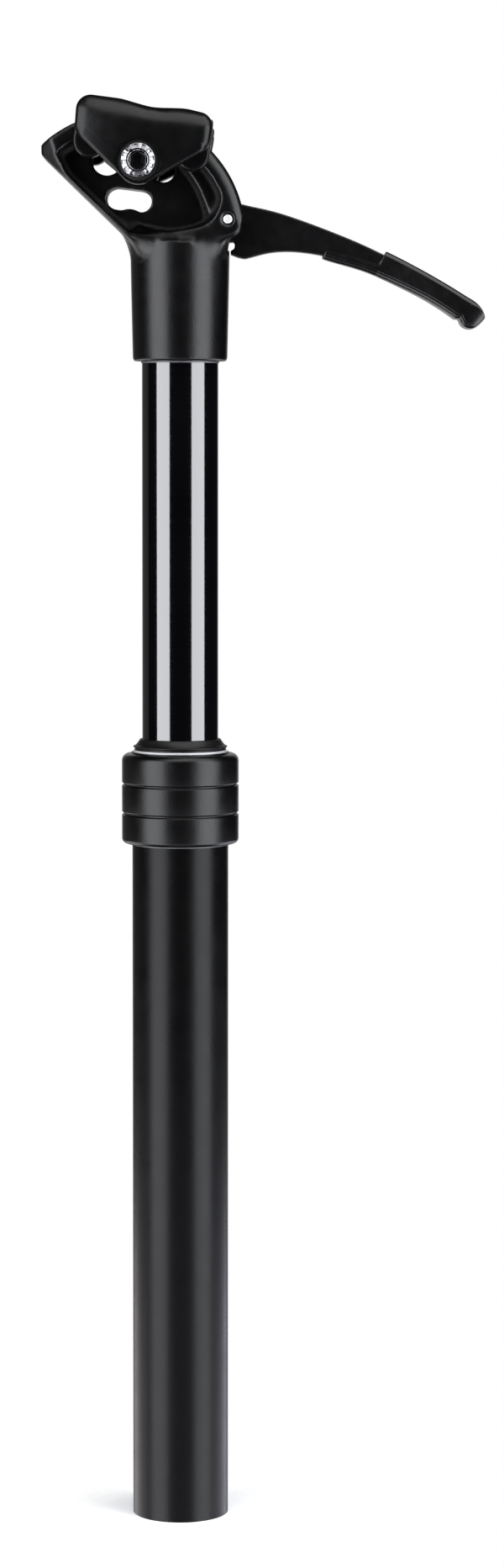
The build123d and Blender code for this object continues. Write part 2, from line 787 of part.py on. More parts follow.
def make_lever_bushing():
    bushing_radius = pin_diameter / 2 + running_gap + lever_bushing_wall
    bushing = cross_bar(bushing_radius, pivot_x, pivot_z, lever_width)
    return bushing - cross_bar(pin_diameter / 2 + running_gap, pivot_x, pivot_z, head_width)


def make_lever():
    lever = side_plate(lever_face(), lever_width)
    bore_radius_for_bushing = pin_diameter / 2 + running_gap + lever_bushing_wall + press_gap
    lever -= cross_bar(bore_radius_for_bushing, pivot_x, pivot_z, head_width)
    return lever


def grip_face():
    """Side view of the grip."""
    top = [from_pivot(share) for share in grip_top_shares]
    tip = [from_pivot(share) for share in grip_tip_shares]
    belly = [from_pivot(share) for share in grip_belly_shares]
    outline = Spline(*top)
    outline += Spline(top[-1], *tip)
    outline += Line(tip[-1], belly[0])
    outline += Spline(*belly)
    outline += Line(belly[-1], top[0])
    return make_face(outline)


def grip_plan(inset):
    """The grip seen from above, widening from its neck, as a tall prism."""
    neck_x = from_pivot(grip_belly_shares[-1])[0]
    end_x = from_pivot(grip_top_shares[-1])[0]
    wide_x = neck_x + grip_taper_share * (end_x - neck_x)
    half_neck = grip_neck_width / 2 - inset
    half_wide = grip_width / 2 - inset
    points = [(neck_x, -half_neck), (wide_x, -half_wide), (end_x, -half_wide),
              (end_x, half_wide), (wide_x, half_wide), (neck_x, half_neck)]
    plan = make_face(Polyline(*points, close=True))
    plan = fillet(plan.vertices().group_by(Axis.X)[-1], grip_plan_round - inset)
    return Pos(0, 0, pivot_z - 2 * lever_drop) * extrude(plan, 3 * lever_drop)


def make_lever_grip():
    side = grip_face()
    below_flange = side_plate(Pos(0, -grip_flange_height) * side, 2 * grip_width)
    grip = side_plate(side, grip_width) & grip_plan(0.0)
    grip -= below_flange - grip_plan(grip_flange_step)
    return grip - side_plate(lever_face(), lever_width + 2 * tongue_gap)


def clamp_place():
    """Puts a clamp drawn about the rail's axis into its tilted place on the head."""
    return Pos(rail_x, 0, rail_z) * Rot(0, rail_tilt, 0)


def clamp_bolt_centre():
    """The bolt's axis in the clamps' own tilted side view."""
    turn = radians(rail_tilt)
    step_x = bolt_x - rail_x
    step_z = bolt_z - rail_z
    return (step_x * cos(turn) - step_z * sin(turn), step_x * sin(turn) + step_z * cos(turn))


def outer_clamp_face(boss_radius):
    """Side view of an outer clamp, about the rail's axis."""
    left = (-clamp_corner_x, -clamp_corner_drop)
    right = (clamp_corner_x, -clamp_corner_drop)
    top = [(x * clamp_length, z * clamp_crown) for x, z, turn in clamp_top_shares]
    boss = Pos(*clamp_bolt_centre()) * Circle(boss_radius)
    face = make_face(Polyline(left, *top, right, close=True))
    face += make_hull([Line(left, right), *boss.edges()])
    for point, (x, z, turn) in zip(top, clamp_top_shares):
        face = rounded_corner(face, point, turn * clamp_length)
    for corner in (left, right):
        face = rounded_corner(face, corner, clamp_corner_round)
    return face


def make_outer_clamp(side, boss_radius, seat_radius, seat_depth, hole_radius):
    inner_y = rail_y + clamp_gap / 2
    outer_y = inner_y + outer_clamp_depth
    clamp = side_plate(outer_clamp_face(boss_radius), outer_clamp_depth)
    outer_face = clamp.faces().sort_by(Axis.Y)[0 if side < 0 else -1]
    clamp = fillet(outer_face.edges(), outer_clamp_round)
    clamp = clamp_place() * Pos(0, side * (inner_y + outer_y) / 2, 0) * clamp
    clamp -= rail_bar(side, rail_radius)
    seat = cross_bar(seat_radius, bolt_x, bolt_z, 2 * seat_depth)
    clamp -= Pos(0, side * outer_y, 0) * seat
    return clamp - cross_bar(hole_radius, bolt_x, bolt_z, 4 * outer_y)


def rail_bar(side, radius):
    """A bar where one saddle rail lies."""
    bar = Rot(0, 90, 0) * Cylinder(radius, 2 * clamp_length)
    return clamp_place() * Pos(0, side * rail_y, 0) * bar


def make_inner_clamp(side, hole_radius):
    inner_y = half_head + inner_clamp_gap
    outer_y = rail_y - clamp_gap / 2
    half_length = inner_lobe_x + inner_lobe_radius
    height = inner_clamp_top + inner_lobe_drop
    bolt_point = clamp_bolt_centre()
    face = Pos(0, (inner_clamp_top - inner_lobe_drop) / 2) * Rectangle(2 * half_length, height)
    for x in (-inner_lobe_x, inner_lobe_x):
        face += Pos(x, -inner_lobe_drop) * Circle(inner_lobe_radius)
    face += Pos(*bolt_point) * Circle(inner_boss_radius)
    face += Pos(bolt_point[0], bolt_point[1] / 2) * Rectangle(2 * inner_boss_radius, -bolt_point[1])
    plate = side_plate(face, outer_y - inner_y)
    clamp = clamp_place() * Pos(0, side * (inner_y + outer_y) / 2, 0) * plate
    clamp -= rail_bar(side, rail_radius)
    return clamp - cross_bar(hole_radius, bolt_x, bolt_z, 4 * outer_y)


def make_clamp_bolt():
    outer_y = rail_y + clamp_gap / 2 + outer_clamp_depth
    seat_y = outer_y - washer_seat_depth + washer_height
    tip_y = outer_y - nut_seat_depth + nut_flange_height - bolt_tip_inset
    head_end = Plane.XZ.offset(seat_y + bolt_head_height)
    head = extrude(Plane.XZ.offset(seat_y) * Circle(bolt_head_diameter / 2), bolt_head_height)
    head = fillet(head.edges().filter_by(GeomType.CIRCLE).sort_by(Axis.Y)[0], bolt_head_round)
    hexagon = head_end * RegularPolygon(bolt_hex_flats / 2, 6, major_radius=False)
    head -= extrude(hexagon, -bolt_hex_depth)
    shaft = extrude(Plane.XZ.offset(seat_y) * Circle(bolt_diameter / 2), -(seat_y + tip_y))
    return Pos(bolt_x, 0, bolt_z) * (head + shaft)


def make_clamp_washer():
    seat_y = rail_y + clamp_gap / 2 + outer_clamp_depth - washer_seat_depth
    washer = extrude(Plane.XZ.offset(seat_y) * Circle(washer_diameter / 2), washer_height)
    washer -= cross_bar(bolt_diameter / 2 + bolt_hole_gap, 0, 0, 4 * seat_y)
    return Pos(bolt_x, 0, bolt_z) * washer


def make_clamp_nut():
    flange_y = rail_y + clamp_gap / 2 + outer_clamp_depth - nut_seat_depth
    flange = extrude(Plane.XZ.offset(-flange_y) * Circle(nut_flange_diameter / 2), -nut_flange_height)
    sleeve = extrude(Plane.XZ.offset(-flange_y) * Circle(nut_sleeve_diameter / 2), nut_sleeve_length)
    nut = flange + sleeve
    nut -= cross_bar(bolt_diameter / 2 + running_gap, 0, 0, 4 * flange_y)
    return Pos(bolt_x, 0, bolt_z) * nut


def main():
    nuts = make_rod_nuts()
    washer_seat = washer_diameter / 2 + press_gap
    nut_seat = nut_flange_diameter / 2 + press_gap
    bolt_hole = bolt_diameter / 2 + bolt_hole_gap
    nut_hole = nut_sleeve_diameter / 2 + press_gap
    nodes = {
        "head": make_head(),
        "lever_pin": make_lever_pin(),
        "lever": make_lever(),
        "lever_bushing": make_lever_bushing(),
        "lever_grip": make_lever_grip(),
        "inner_clamp_right": make_inner_clamp(-1, bolt_hole),
        "inner_clamp_left": make_inner_clamp(1, nut_hole),
        "outer_clamp_right": make_outer_clamp(-1, right_boss_radius, washer_seat, washer_seat_depth,
                                              bolt_hole),
        "outer_clamp_left": make_outer_clamp(1, left_boss_radius, nut_seat, nut_seat_depth, nut_hole),
        "clamp_bolt": make_clamp_bolt(),
        "clamp_washer": make_clamp_washer(),
        "clamp_nut": make_clamp_nut(),
        "outer_tube": make_outer_tube(),
        "collar": make_collar(),
        "collar_seal_ring": make_collar_seal_ring(),
        "wiper_ring": make_wiper_ring(),
        "wiper_seal": make_wiper_seal(),
        "upper_bushing": make_upper_bushing(),
        "top_out_ring": make_top_out_ring(),
        "base_cap": make_base_cap(),
        "base_circlip": make_base_circlip(),
        "bottom_bumper": make_bottom_bumper(),
        "piston_rod": make_piston_rod(),
        "rod_nut": nuts[0],
        "piston_nut": nuts[1],
        "main_piston": make_main_piston(),
        "piston_seal": make_piston_seal(),
        "floating_piston": make_floating_piston(),
        "floating_piston_rings": make_floating_piston_rings(),
        "stanchion": make_stanchion(),
        "rotation_keys": make_rotation_keys(),
        "lower_bushing": make_lower_bushing(),
        "end_plug": make_end_plug(),
        "cartridge_tube": make_cartridge_tube(),
        "bore_tube": make_bore_tube(),
        "rod_guide": make_rod_guide(),
        "rod_seal": make_rod_seal(),
        "valve_body": make_valve_body(),
        "valve_seal_ring": make_valve_seal_ring(),
        "valve_seat": make_valve_seat(),
        "valve_pin": make_valve_pin(),
        "valve_spring": make_valve_spring(),
    }
    for name, body in nodes.items():
        export_step(body, f"parts/{name}.step")


main()
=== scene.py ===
import math

import bpy
import numpy
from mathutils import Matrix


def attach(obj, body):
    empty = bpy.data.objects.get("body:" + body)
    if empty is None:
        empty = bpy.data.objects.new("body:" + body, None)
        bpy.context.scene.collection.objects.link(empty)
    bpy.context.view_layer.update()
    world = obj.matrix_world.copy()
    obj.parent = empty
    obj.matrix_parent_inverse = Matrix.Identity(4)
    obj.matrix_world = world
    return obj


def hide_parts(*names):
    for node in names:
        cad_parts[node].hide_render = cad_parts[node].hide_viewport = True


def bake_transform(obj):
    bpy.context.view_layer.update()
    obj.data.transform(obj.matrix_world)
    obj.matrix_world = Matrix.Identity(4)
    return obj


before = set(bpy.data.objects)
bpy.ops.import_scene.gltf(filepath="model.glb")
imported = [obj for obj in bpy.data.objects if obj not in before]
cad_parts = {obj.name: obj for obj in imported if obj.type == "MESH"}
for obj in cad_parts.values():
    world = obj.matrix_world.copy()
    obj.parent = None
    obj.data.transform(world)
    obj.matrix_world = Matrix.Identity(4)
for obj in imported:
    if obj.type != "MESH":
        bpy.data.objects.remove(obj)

for startUp in ("Cube", "Light", "Camera"):
    if startUp in bpy.data.objects:
        bpy.data.objects.remove(bpy.data.objects[startUp])
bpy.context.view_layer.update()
print("frame loaded:", len(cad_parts), "nodes")


# Camera: a long lens a little above the wiper, looking down a touch
cameraLook = {
    "place": (0.02348, -1.297, 0.3558),
    "pitchDown": 4.947,
    "lean": -0.062,
    "lens": 90.88,
    "sensor": 36.0,
}


def putCamera():
    data = bpy.data.cameras.new("studioCamera")
    data.lens = cameraLook["lens"]
    data.sensor_width = cameraLook["sensor"]
    camera = bpy.data.objects.new("studioCamera", data)
    camera.location = cameraLook["place"]
    camera.rotation_euler = (math.radians(90 - cameraLook["pitchDown"]),
                             math.radians(cameraLook["lean"]), 0)
    bpy.context.collection.objects.link(camera)
    bpy.context.scene.camera = camera


# Studio: pale floor, tall soft boxes all round, one overhead and a low glow in front
studioLook = {
    "floorSize": 30.0,
    "floorTone": (0.93, 0.93, 0.935),
    "floorRough": 0.9,
    "wallTone": (1.0, 1.0, 1.0),
    "roomTone": (0.012, 0.012, 0.014),
    "floorFadeStart": 0.018,
    "floorFadeEnd": 0.045,
    "view": "Standard",
}
softBoxes = {
    # turn round the post from the camera's side, distance and height, then size, brightness, tone
    "boxLeft": (-52.5, 1.2, 0.2, (0.94, 2.3), 7.6, (0.95, 0.965, 1)),
    "boxRight": (57, 1.2, 0.25, (0.94, 2.4), 7.6, (0.935, 0.955, 1)),
    "wallGlow": (180, 1.6, 0.25, (1.3, 1.6), 0.7, (1, 1, 1)),
    "wallLeft": (-132, 1.5, 0.5, (1.2, 1.2), 0.12, (1, 1, 1)),
    "footLeft": (-116, 1.2, -0.68, (1.5, 1.0), 3.1, (1, 0.95, 0.97)),
    "footRight": (116, 1.2, -0.68, (1.5, 1.0), 3.5, (0.88, 0.88, 1)),
}
aimedBoxes = {
    # place, the point that it looks at, size, brightness, tone
    "overheadBox": ((0.2, -0.35, 1.35), (0, 0, 0.3), (1.6, 0.8), 4.2, (1, 1, 1)),
    "lowGlow": ((0.0, -0.33, -0.16), (0, 0, 0.15), (0.5, 0.56), 1.0, (0.94, 0.9, 1.0)),
}


def addSoftBox(name, place, target, size, glow, tone):
    data = bpy.data.lights.new(name, "AREA")
    data.shape = "RECTANGLE"
    data.size, data.size_y = size
    data.color = tone
    # the energy that makes glow the panel's own brightness
    data.energy = glow * math.pi * size[0] * size[1]
    lamp = bpy.data.objects.new(name, data)
    lamp.location = place
    aim = [t - p for t, p in zip(target, place)]
    lamp.rotation_euler = (math.atan2(math.hypot(aim[0], aim[1]), -aim[2]), 0,
                           math.atan2(-aim[0], aim[1]))
    lamp.visible_camera = False
    bpy.context.collection.objects.link(lamp)


def fadeFloor(paint, shader):
    # the floor thins out into the pale room, so that no horizon shows
    nodes, links = paint.node_tree.nodes, paint.node_tree.links
    coords = nodes.new("ShaderNodeTexCoord")
    away = nodes.new("ShaderNodeVectorMath")
    away.operation = "LENGTH"
    fade = nodes.new("ShaderNodeMapRange")
    fade.interpolation_type = "SMOOTHSTEP"
    fade.inputs["From Min"].default_value = studioLook["floorFadeStart"]
    fade.inputs["From Max"].default_value = studioLook["floorFadeEnd"]
    fade.inputs["To Min"].default_value = 1
    fade.inputs["To Max"].default_value = 0
    links.new(coords.outputs["Object"], away.inputs[0])
    links.new(away.outputs["Value"], fade.inputs["Value"])
    links.new(fade.outputs["Result"], shader.inputs["Alpha"])


def buildStudio():
    for name, (turn, away, height, size, glow, tone) in softBoxes.items():
        angle = math.radians(turn)
        place = (away * math.sin(angle), -away * math.cos(angle), height)
        addSoftBox(name, place, (0, 0, height), size, glow, tone)
    for name, (place, target, size, glow, tone) in aimedBoxes.items():
        addSoftBox(name, place, target, size, glow, tone)

    bpy.ops.mesh.primitive_plane_add(size=studioLook["floorSize"], location=(0, 0, 0))
    floor = bpy.context.object
    floor.name = "studioFloor"
    paint = bpy.data.materials.new("paleFloor")
    paint.use_nodes = True
    shader = paint.node_tree.nodes["Principled BSDF"]
    shader.inputs["Base Color"].default_value = (*studioLook["floorTone"], 1)
    shader.inputs["Roughness"].default_value = studioLook["floorRough"]
    fadeFloor(paint, shader)
    floor.data.materials.append(paint)
    floor.visible_glossy = False  # the boxes' reflections run on below it
    floor.visible_shadow = False

    world = bpy.data.worlds.new("studioRoom")
    world.use_nodes = True
    bpy.context.scene.world = world
    nodes, links = world.node_tree.nodes, world.node_tree.links
    nodes.clear()
    path = nodes.new("ShaderNodeLightPath")
    room = nodes.new("ShaderNodeBackground")
    room.inputs["Color"].default_value = (*studioLook["roomTone"], 1)
    wall = nodes.new("ShaderNodeBackground")
    wall.inputs["Color"].default_value = (*studioLook["wallTone"], 1)
    both = nodes.new("ShaderNodeMixShader")
    out = nodes.new("ShaderNodeOutputWorld")
    links.new(path.outputs["Is Camera Ray"], both.inputs["Fac"])
    links.new(room.outputs["Background"], both.inputs[1])
    links.new(wall.outputs["Background"], both.inputs[2])
    links.new(both.outputs["Shader"], out.inputs["Surface"])
    bpy.context.scene.view_settings.view_transform = studioLook["view"]


putCamera()
buildStudio()
print("camera and studio in place")


# Materials: each finish has its own values, and sizes are in metres
grainStrength = 0.5
lineStrength = 0.4
acrossLines = 0.02
cavityRough = 0.7


def startMaterial(name, look):
    material = bpy.data.materials.new(name)
    material.use_nodes = True
    nodes = material.node_tree.nodes
    shader = nodes["Principled BSDF"]
    shader.inputs["Metallic"].default_value = look.get("metal", 0.0)
    shader.inputs["IOR"].default_value = look.get("ior", 1.45)
    shader.inputs["Specular IOR Level"].default_value = look.get("sheen", 0.5)
    coords = nodes.new("ShaderNodeTexCoord")
    return material, shader, coords.outputs["Object"]


def addNoise(material, coords, size, detail=2.0, rough=0.5, stretch=None):
    nodes, links = material.node_tree.nodes, material.node_tree.links
    noise = nodes.new("ShaderNodeTexNoise")
    noise.inputs["Scale"].default_value = 1 / size
    noise.inputs["Detail"].default_value = detail
    noise.inputs["Roughness"].default_value = rough
    if stretch:
        mapping = nodes.new("ShaderNodeMapping")
        mapping.inputs["Scale"].default_value = stretch
        links.new(coords, mapping.inputs["Vector"])
        coords = mapping.outputs["Vector"]
    links.new(coords, noise.inputs["Vector"])
    return noise.outputs["Fac"]


def addRange(material, source, low, high, into, fromLow=0.3, fromHigh=0.7):
    spread = material.node_tree.nodes.new("ShaderNodeMapRange")
    spread.inputs["From Min"].default_value = fromLow
    spread.inputs["From Max"].default_value = fromHigh
    spread.inputs["To Min"].default_value = low
    spread.inputs["To Max"].default_value = high
    material.node_tree.links.new(source, spread.inputs["Value"])
    material.node_tree.links.new(spread.outputs["Result"], into)


def addTones(material, source, dark, light, into, start=0.3, end=0.7):
    ramp = material.node_tree.nodes.new("ShaderNodeValToRGB")
    ramp.color_ramp.elements[0].position = start
    ramp.color_ramp.elements[0].color = (*dark, 1)
    ramp.color_ramp.elements[1].position = end
    ramp.color_ramp.elements[1].color = (*light, 1)
    material.node_tree.links.new(source, ramp.inputs["Fac"])
    material.node_tree.links.new(ramp.outputs["Color"], into)


def addRelief(material, shader, height, depth, strength):
    bump = material.node_tree.nodes.new("ShaderNodeBump")
    bump.inputs["Strength"].default_value = strength
    bump.inputs["Distance"].default_value = depth
    material.node_tree.links.new(height, bump.inputs["Height"])
    material.node_tree.links.new(bump.outputs["Normal"], shader.inputs["Normal"])


def grainedFinish(name, look):
    # blasted metal, rubber and moulded plastic
    material, shader, coords = startMaterial(name, look)
    cloud = addNoise(material, coords, look["cloudSize"])
    addTones(material, cloud, look["dark"], look["light"], shader.inputs["Base Color"])
    wear = addNoise(material, coords, look["wearSize"], detail=4.0)
    addRange(material, wear, look["roughLow"], look["roughHigh"], shader.inputs["Roughness"])
    grain = addNoise(material, coords, look["grainSize"], rough=0.6)
    addRelief(material, shader, grain, look["grainDepth"], grainStrength)
    return material


def turnedFinish(name, look):
    # lathe or polishing lines that run round an axis
    material, shader, coords = startMaterial(name, look)
    cloud = addNoise(material, coords, look["cloudSize"])
    addTones(material, cloud, look["dark"], look["light"], shader.inputs["Base Color"])
    stretch = [acrossLines] * 3
    stretch["XYZ".index(look["axis"])] = 1
    lines = addNoise(material, coords, look["lineSize"], stretch=tuple(stretch))
    addRange(material, lines, look["roughLow"], look["roughHigh"], shader.inputs["Roughness"])
    addRelief(material, shader, lines, look["lineDepth"], lineStrength)
    return material


def dullCavities(material, amount):
    # inner corners hold blasting dust: rougher where the piece's own cavity attribute says so
    nodes, links = material.node_tree.nodes, material.node_tree.links
    shader = nodes["Principled BSDF"]
    rough = shader.inputs["Roughness"].links[0].from_socket
    cavity = nodes.new("ShaderNodeAttribute")
    cavity.attribute_name = "cavity"
    more = nodes.new("ShaderNodeMath")
    more.operation = "MULTIPLY_ADD"
    more.use_clamp = True
    more.inputs[1].default_value = amount
    links.new(cavity.outputs["Fac"], more.inputs[0])
    links.new(rough, more.inputs[2])
    links.new(more.outputs["Value"], shader.inputs["Roughness"])


finishes = {
    "tube_black": (grainedFinish, {
        "dark": (0.0003, 0.0003, 0.0004), "light": (0.0007, 0.0007, 0.0008),
        "ior": 1.45, "sheen": 0.145,
        "roughLow": 0.27, "roughHigh": 0.32, "cloudSize": 0.02, "wearSize": 0.008,
        "grainSize": 0.0004, "grainDepth": 0.00008}),
    "head_black": (grainedFinish, {
        "dark": (0.0003, 0.0003, 0.0004), "light": (0.0007, 0.0007, 0.0008),
        "ior": 1.45, "sheen": 0.29,
        "roughLow": 0.27, "roughHigh": 0.32, "cloudSize": 0.012, "wearSize": 0.005,
        "grainSize": 0.0004, "grainDepth": 0.00008}),
    "clamp_black": (grainedFinish, {
        "dark": (0.0008, 0.0008, 0.0009), "light": (0.0015, 0.0015, 0.0016),
        "ior": 1.45, "sheen": 0.2,
        "roughLow": 0.26, "roughHigh": 0.34, "cloudSize": 0.012, "wearSize": 0.005,
        "grainSize": 0.00035, "grainDepth": 0.000012}),
    "lever_black": (grainedFinish, {
        "dark": (0.0006, 0.0006, 0.0007), "light": (0.0012, 0.0012, 0.0013),
        "ior": 1.45, "sheen": 0.28,
        "roughLow": 0.26, "roughHigh": 0.33, "cloudSize": 0.012, "wearSize": 0.005,
        "grainSize": 0.00035, "grainDepth": 0.000008}),
    "stanchion_black": (turnedFinish, {
        "dark": (0.0004, 0.0004, 0.0006), "light": (0.0008, 0.0008, 0.001),
        "ior": 1.8, "sheen": 0.5,
        "roughLow": 0.07, "roughHigh": 0.10, "cloudSize": 0.03, "axis": "Z",
        "lineSize": 0.0005, "lineDepth": 0.000002}),
    "grip_black": (grainedFinish, {
        "dark": (0.0006, 0.0006, 0.0007), "light": (0.0012, 0.0012, 0.0013),
        "ior": 1.5, "sheen": 0.3,
        "roughLow": 0.24, "roughHigh": 0.31, "cloudSize": 0.01, "wearSize": 0.004,
        "grainSize": 0.0006, "grainDepth": 0.00003}),
    "seal_rubber": (grainedFinish, {
        "dark": (0.0008, 0.0008, 0.0008), "light": (0.0016, 0.0016, 0.0016),
        "ior": 1.5, "sheen": 0.2,
        "roughLow": 0.36, "roughHigh": 0.46, "cloudSize": 0.006, "wearSize": 0.003,
        "grainSize": 0.0003, "grainDepth": 0.00003}),
    "bumper_rubber": (grainedFinish, {
        "dark": (0.10, 0.035, 0.01), "light": (0.14, 0.05, 0.015), "ior": 1.5, "sheen": 0.4,
        "roughLow": 0.45, "roughHigh": 0.6, "cloudSize": 0.006, "wearSize": 0.003,
        "grainSize": 0.0004, "grainDepth": 0.00003}),
    "ring_steel": (turnedFinish, {
        "dark": (0.4, 0.4, 0.41), "light": (0.5, 0.5, 0.51), "metal": 1.0,
        "roughLow": 0.68, "roughHigh": 0.78, "cloudSize": 0.01, "axis": "Z",
        "lineSize": 0.0002, "lineDepth": 0.000006}),
    "plain_steel": (turnedFinish, {
        "dark": (0.42, 0.42, 0.43), "light": (0.55, 0.55, 0.56), "metal": 1.0,
        "roughLow": 0.26, "roughHigh": 0.4, "cloudSize": 0.008, "axis": "Z",
        "lineSize": 0.0003, "lineDepth": 0.00001}),
    "pin_steel": (turnedFinish, {
        "dark": (0.62, 0.62, 0.63), "light": (0.8, 0.8, 0.8), "metal": 1.0,
        "roughLow": 0.45, "roughHigh": 0.55, "cloudSize": 0.003, "axis": "Y",
        "lineSize": 0.0002, "lineDepth": 0.000006}),
    "rod_chrome": (turnedFinish, {
        "dark": (0.6, 0.6, 0.62), "light": (0.7, 0.7, 0.72), "metal": 1.0,
        "roughLow": 0.08, "roughHigh": 0.14, "cloudSize": 0.02, "axis": "Z",
        "lineSize": 0.0003, "lineDepth": 0.000003}),
    "bolt_steel": (turnedFinish, {
        "dark": (0.06, 0.06, 0.063), "light": (0.24, 0.24, 0.25), "metal": 1.0,
        "roughLow": 0.12, "roughHigh": 0.22, "cloudSize": 0.0008, "axis": "Y",
        "lineSize": 0.0004, "lineDepth": 0.00003}),
    "washer_black": (turnedFinish, {
        "dark": (0.006, 0.006, 0.006), "light": (0.012, 0.012, 0.012), "ior": 1.5,
        "roughLow": 0.25, "roughHigh": 0.38, "cloudSize": 0.003, "axis": "Y",
        "lineSize": 0.0002, "lineDepth": 0.000006}),
    "bushing_plastic": (grainedFinish, {
        "dark": (0.22, 0.2, 0.16), "light": (0.28, 0.26, 0.21), "ior": 1.45, "sheen": 0.4,
        "roughLow": 0.35, "roughHigh": 0.5, "cloudSize": 0.006, "wearSize": 0.003,
        "grainSize": 0.0004, "grainDepth": 0.00002}),
    "key_brass": (turnedFinish, {
        "dark": (0.5, 0.34, 0.12), "light": (0.62, 0.44, 0.18), "metal": 1.0,
        "roughLow": 0.25, "roughHigh": 0.38, "cloudSize": 0.004, "axis": "Z",
        "lineSize": 0.0003, "lineDepth": 0.000006}),
    "bare_aluminium": (turnedFinish, {
        "dark": (0.6, 0.6, 0.61), "light": (0.72, 0.72, 0.73), "metal": 1.0,
        "roughLow": 0.28, "roughHigh": 0.42, "cloudSize": 0.01, "axis": "Z",
        "lineSize": 0.0003, "lineDepth": 0.00001}),
}
paints = {slot: make(slot + "Finish", look) for slot, (make, look) in finishes.items()}

dullCavities(paints["head_black"], cavityRough)
paints["collar"] = grainedFinish("collarFinish", {**finishes["head_black"][1], "sheen": 0.28})

# a pale grey steel for the bonding line under the socket and for the painted highlight ring at the
# collar's foot
paints["fineLine"] = turnedFinish("fineLineFinish", {
    **finishes["plain_steel"][1], "dark": (0.1, 0.1, 0.105), "light": (0.16, 0.16, 0.165),
    "roughLow": 0.55, "roughHigh": 0.65})

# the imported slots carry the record's slot names
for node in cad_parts.values():
    for holder in node.material_slots:
        holder.material = paints[holder.material.name.split(".")[0]]
print("materials on the frame's nodes")


# Helpers for the pieces
mergeDistance = 0.000002


def only(piece):
    if bpy.context.object and bpy.context.object.mode != "OBJECT":
        bpy.ops.object.mode_set(mode="OBJECT")
    bpy.ops.object.select_all(action="DESELECT")
    piece.select_set(True)
    bpy.context.view_layer.objects.active = piece


def copyNode(node, name):
    # a copy of a frame node with its loose triangles joined up
    piece = bpy.data.objects.new(name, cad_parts[node].data.copy())
    bpy.context.collection.objects.link(piece)
    only(piece)
    bpy.ops.object.mode_set(mode="EDIT")
    bpy.ops.mesh.select_all(action="SELECT")
    bpy.ops.mesh.remove_doubles(threshold=mergeDistance)
    bpy.ops.mesh.customdata_custom_splitnormals_clear()
    bpy.ops.object.mode_set(mode="OBJECT")
    return piece


def remeshPiece(piece, grid, rounds=0):
    only(piece)
    remesh = piece.modifiers.new("evenMesh", "REMESH")
    remesh.mode = "VOXEL"
    remesh.voxel_size = grid
    remesh.use_smooth_shade = True
    bpy.ops.object.modifier_apply(modifier=remesh.name)
    if rounds:
        smoothPiece(piece, rounds)


def smoothPiece(piece, rounds, group=None, factor=0.5):
    only(piece)
    smooth = piece.modifiers.new("softEdges", "SMOOTH")
    smooth.factor = factor
    smooth.iterations = rounds
    if group:
        smooth.vertex_group = group
    bpy.ops.object.modifier_apply(modifier=smooth.name)


def softenSpot(piece, centre, reach, rounds, fadeSlope=1.5):
    # rounds off the corners inside a ball round a point, fading out at its edge
    points = pointsOf(piece)
    far = numpy.linalg.norm(points - numpy.array(centre), axis=1)
    weight = numpy.clip(fadeSlope * (1 - far / reach), 0, 1)
    group = piece.vertex_groups.new(name="spot")
    for index in numpy.nonzero(weight)[0]:
        group.add([int(index)], float(weight[index]), "REPLACE")
    smoothPiece(piece, rounds, "spot")
    piece.vertex_groups.clear()


def pointsOf(piece):
    points = numpy.empty(len(piece.data.vertices) * 3)
    piece.data.vertices.foreach_get("co", points)
    return points.reshape(-1, 3)


def movePoints(piece, points):
    piece.data.vertices.foreach_set("co", points.ravel())
    piece.data.update()


def pullOf(piece):
    # how far each point lies from the middle of its neighbours, and its normal
    mesh = piece.data
    ends = numpy.empty(len(mesh.edges) * 2, dtype=int)
    mesh.edges.foreach_get("vertices", ends)
    one, two = ends.reshape(-1, 2).T
    points = pointsOf(piece)
    size = len(points)
    count = numpy.bincount(one, minlength=size) + numpy.bincount(two, minlength=size)
    sums = [numpy.bincount(one, weights=points[two, axis], minlength=size)
            + numpy.bincount(two, weights=points[one, axis], minlength=size) for axis in range(3)]
    middle = numpy.column_stack(sums) / count[:, None]
    normals = numpy.empty(size * 3)
    mesh.vertices.foreach_get("normal", normals)
    return points, middle - points, normals.reshape(-1, 3)


def easeCorners(piece, rounds, step=0.5):
    # rounds the outer corners only, so that inner ones stay crisp
    for _ in range(rounds):
        points, pull, normals = pullOf(piece)
        outer = (pull * normals).sum(axis=1) < 0
        movePoints(piece, points + step * pull * outer[:, None])


def markCavities(piece, full):
    # how hollow each point is, for the paint: one where the surface is pulled in by full
    _, pull, normals = pullOf(piece)
    hollow = numpy.clip((pull * normals).sum(axis=1) / full, 0, 1)
    mark = piece.data.attributes.new("cavity", "FLOAT", "POINT")
    mark.data.foreach_set("value", hollow)


def drawRings(name, outline, sides, fill="NOTHING"):
    # a circle drawn out along its outline, left in edit mode
    (radius, height), rest = outline[0], outline[1:]
    bpy.ops.object.select_all(action="DESELECT")
    bpy.ops.mesh.primitive_circle_add(vertices=sides, radius=radius, location=(0, 0, height),
                                      fill_type=fill)
    piece = bpy.context.object
    piece.name = name
    bpy.ops.object.transform_apply(location=True)
    bpy.ops.object.mode_set(mode="EDIT")
    bpy.ops.mesh.select_all(action="SELECT")
    for nextRadius, nextHeight in rest:
        rise = nextHeight - height
        bpy.ops.mesh.extrude_edges_move(TRANSFORM_OT_translate={"value": (0, 0, rise)})
        if nextRadius != radius:
            share = nextRadius / radius
            bpy.ops.transform.resize(value=(share, share, 1), center_override=(0, 0, nextHeight))
        radius, height = nextRadius, nextHeight
    return piece


def easeEdges(piece, width, sharpAngle, smoothAngle, segments=2):
    ease = piece.modifiers.new("easedEdges", "BEVEL")
    ease.width = width
    ease.segments = segments
    ease.angle_limit = math.radians(sharpAngle)
    bpy.ops.object.modifier_apply(modifier=ease.name)
    bpy.ops.object.shade_smooth_by_angle(angle=math.radians(smoothAngle))


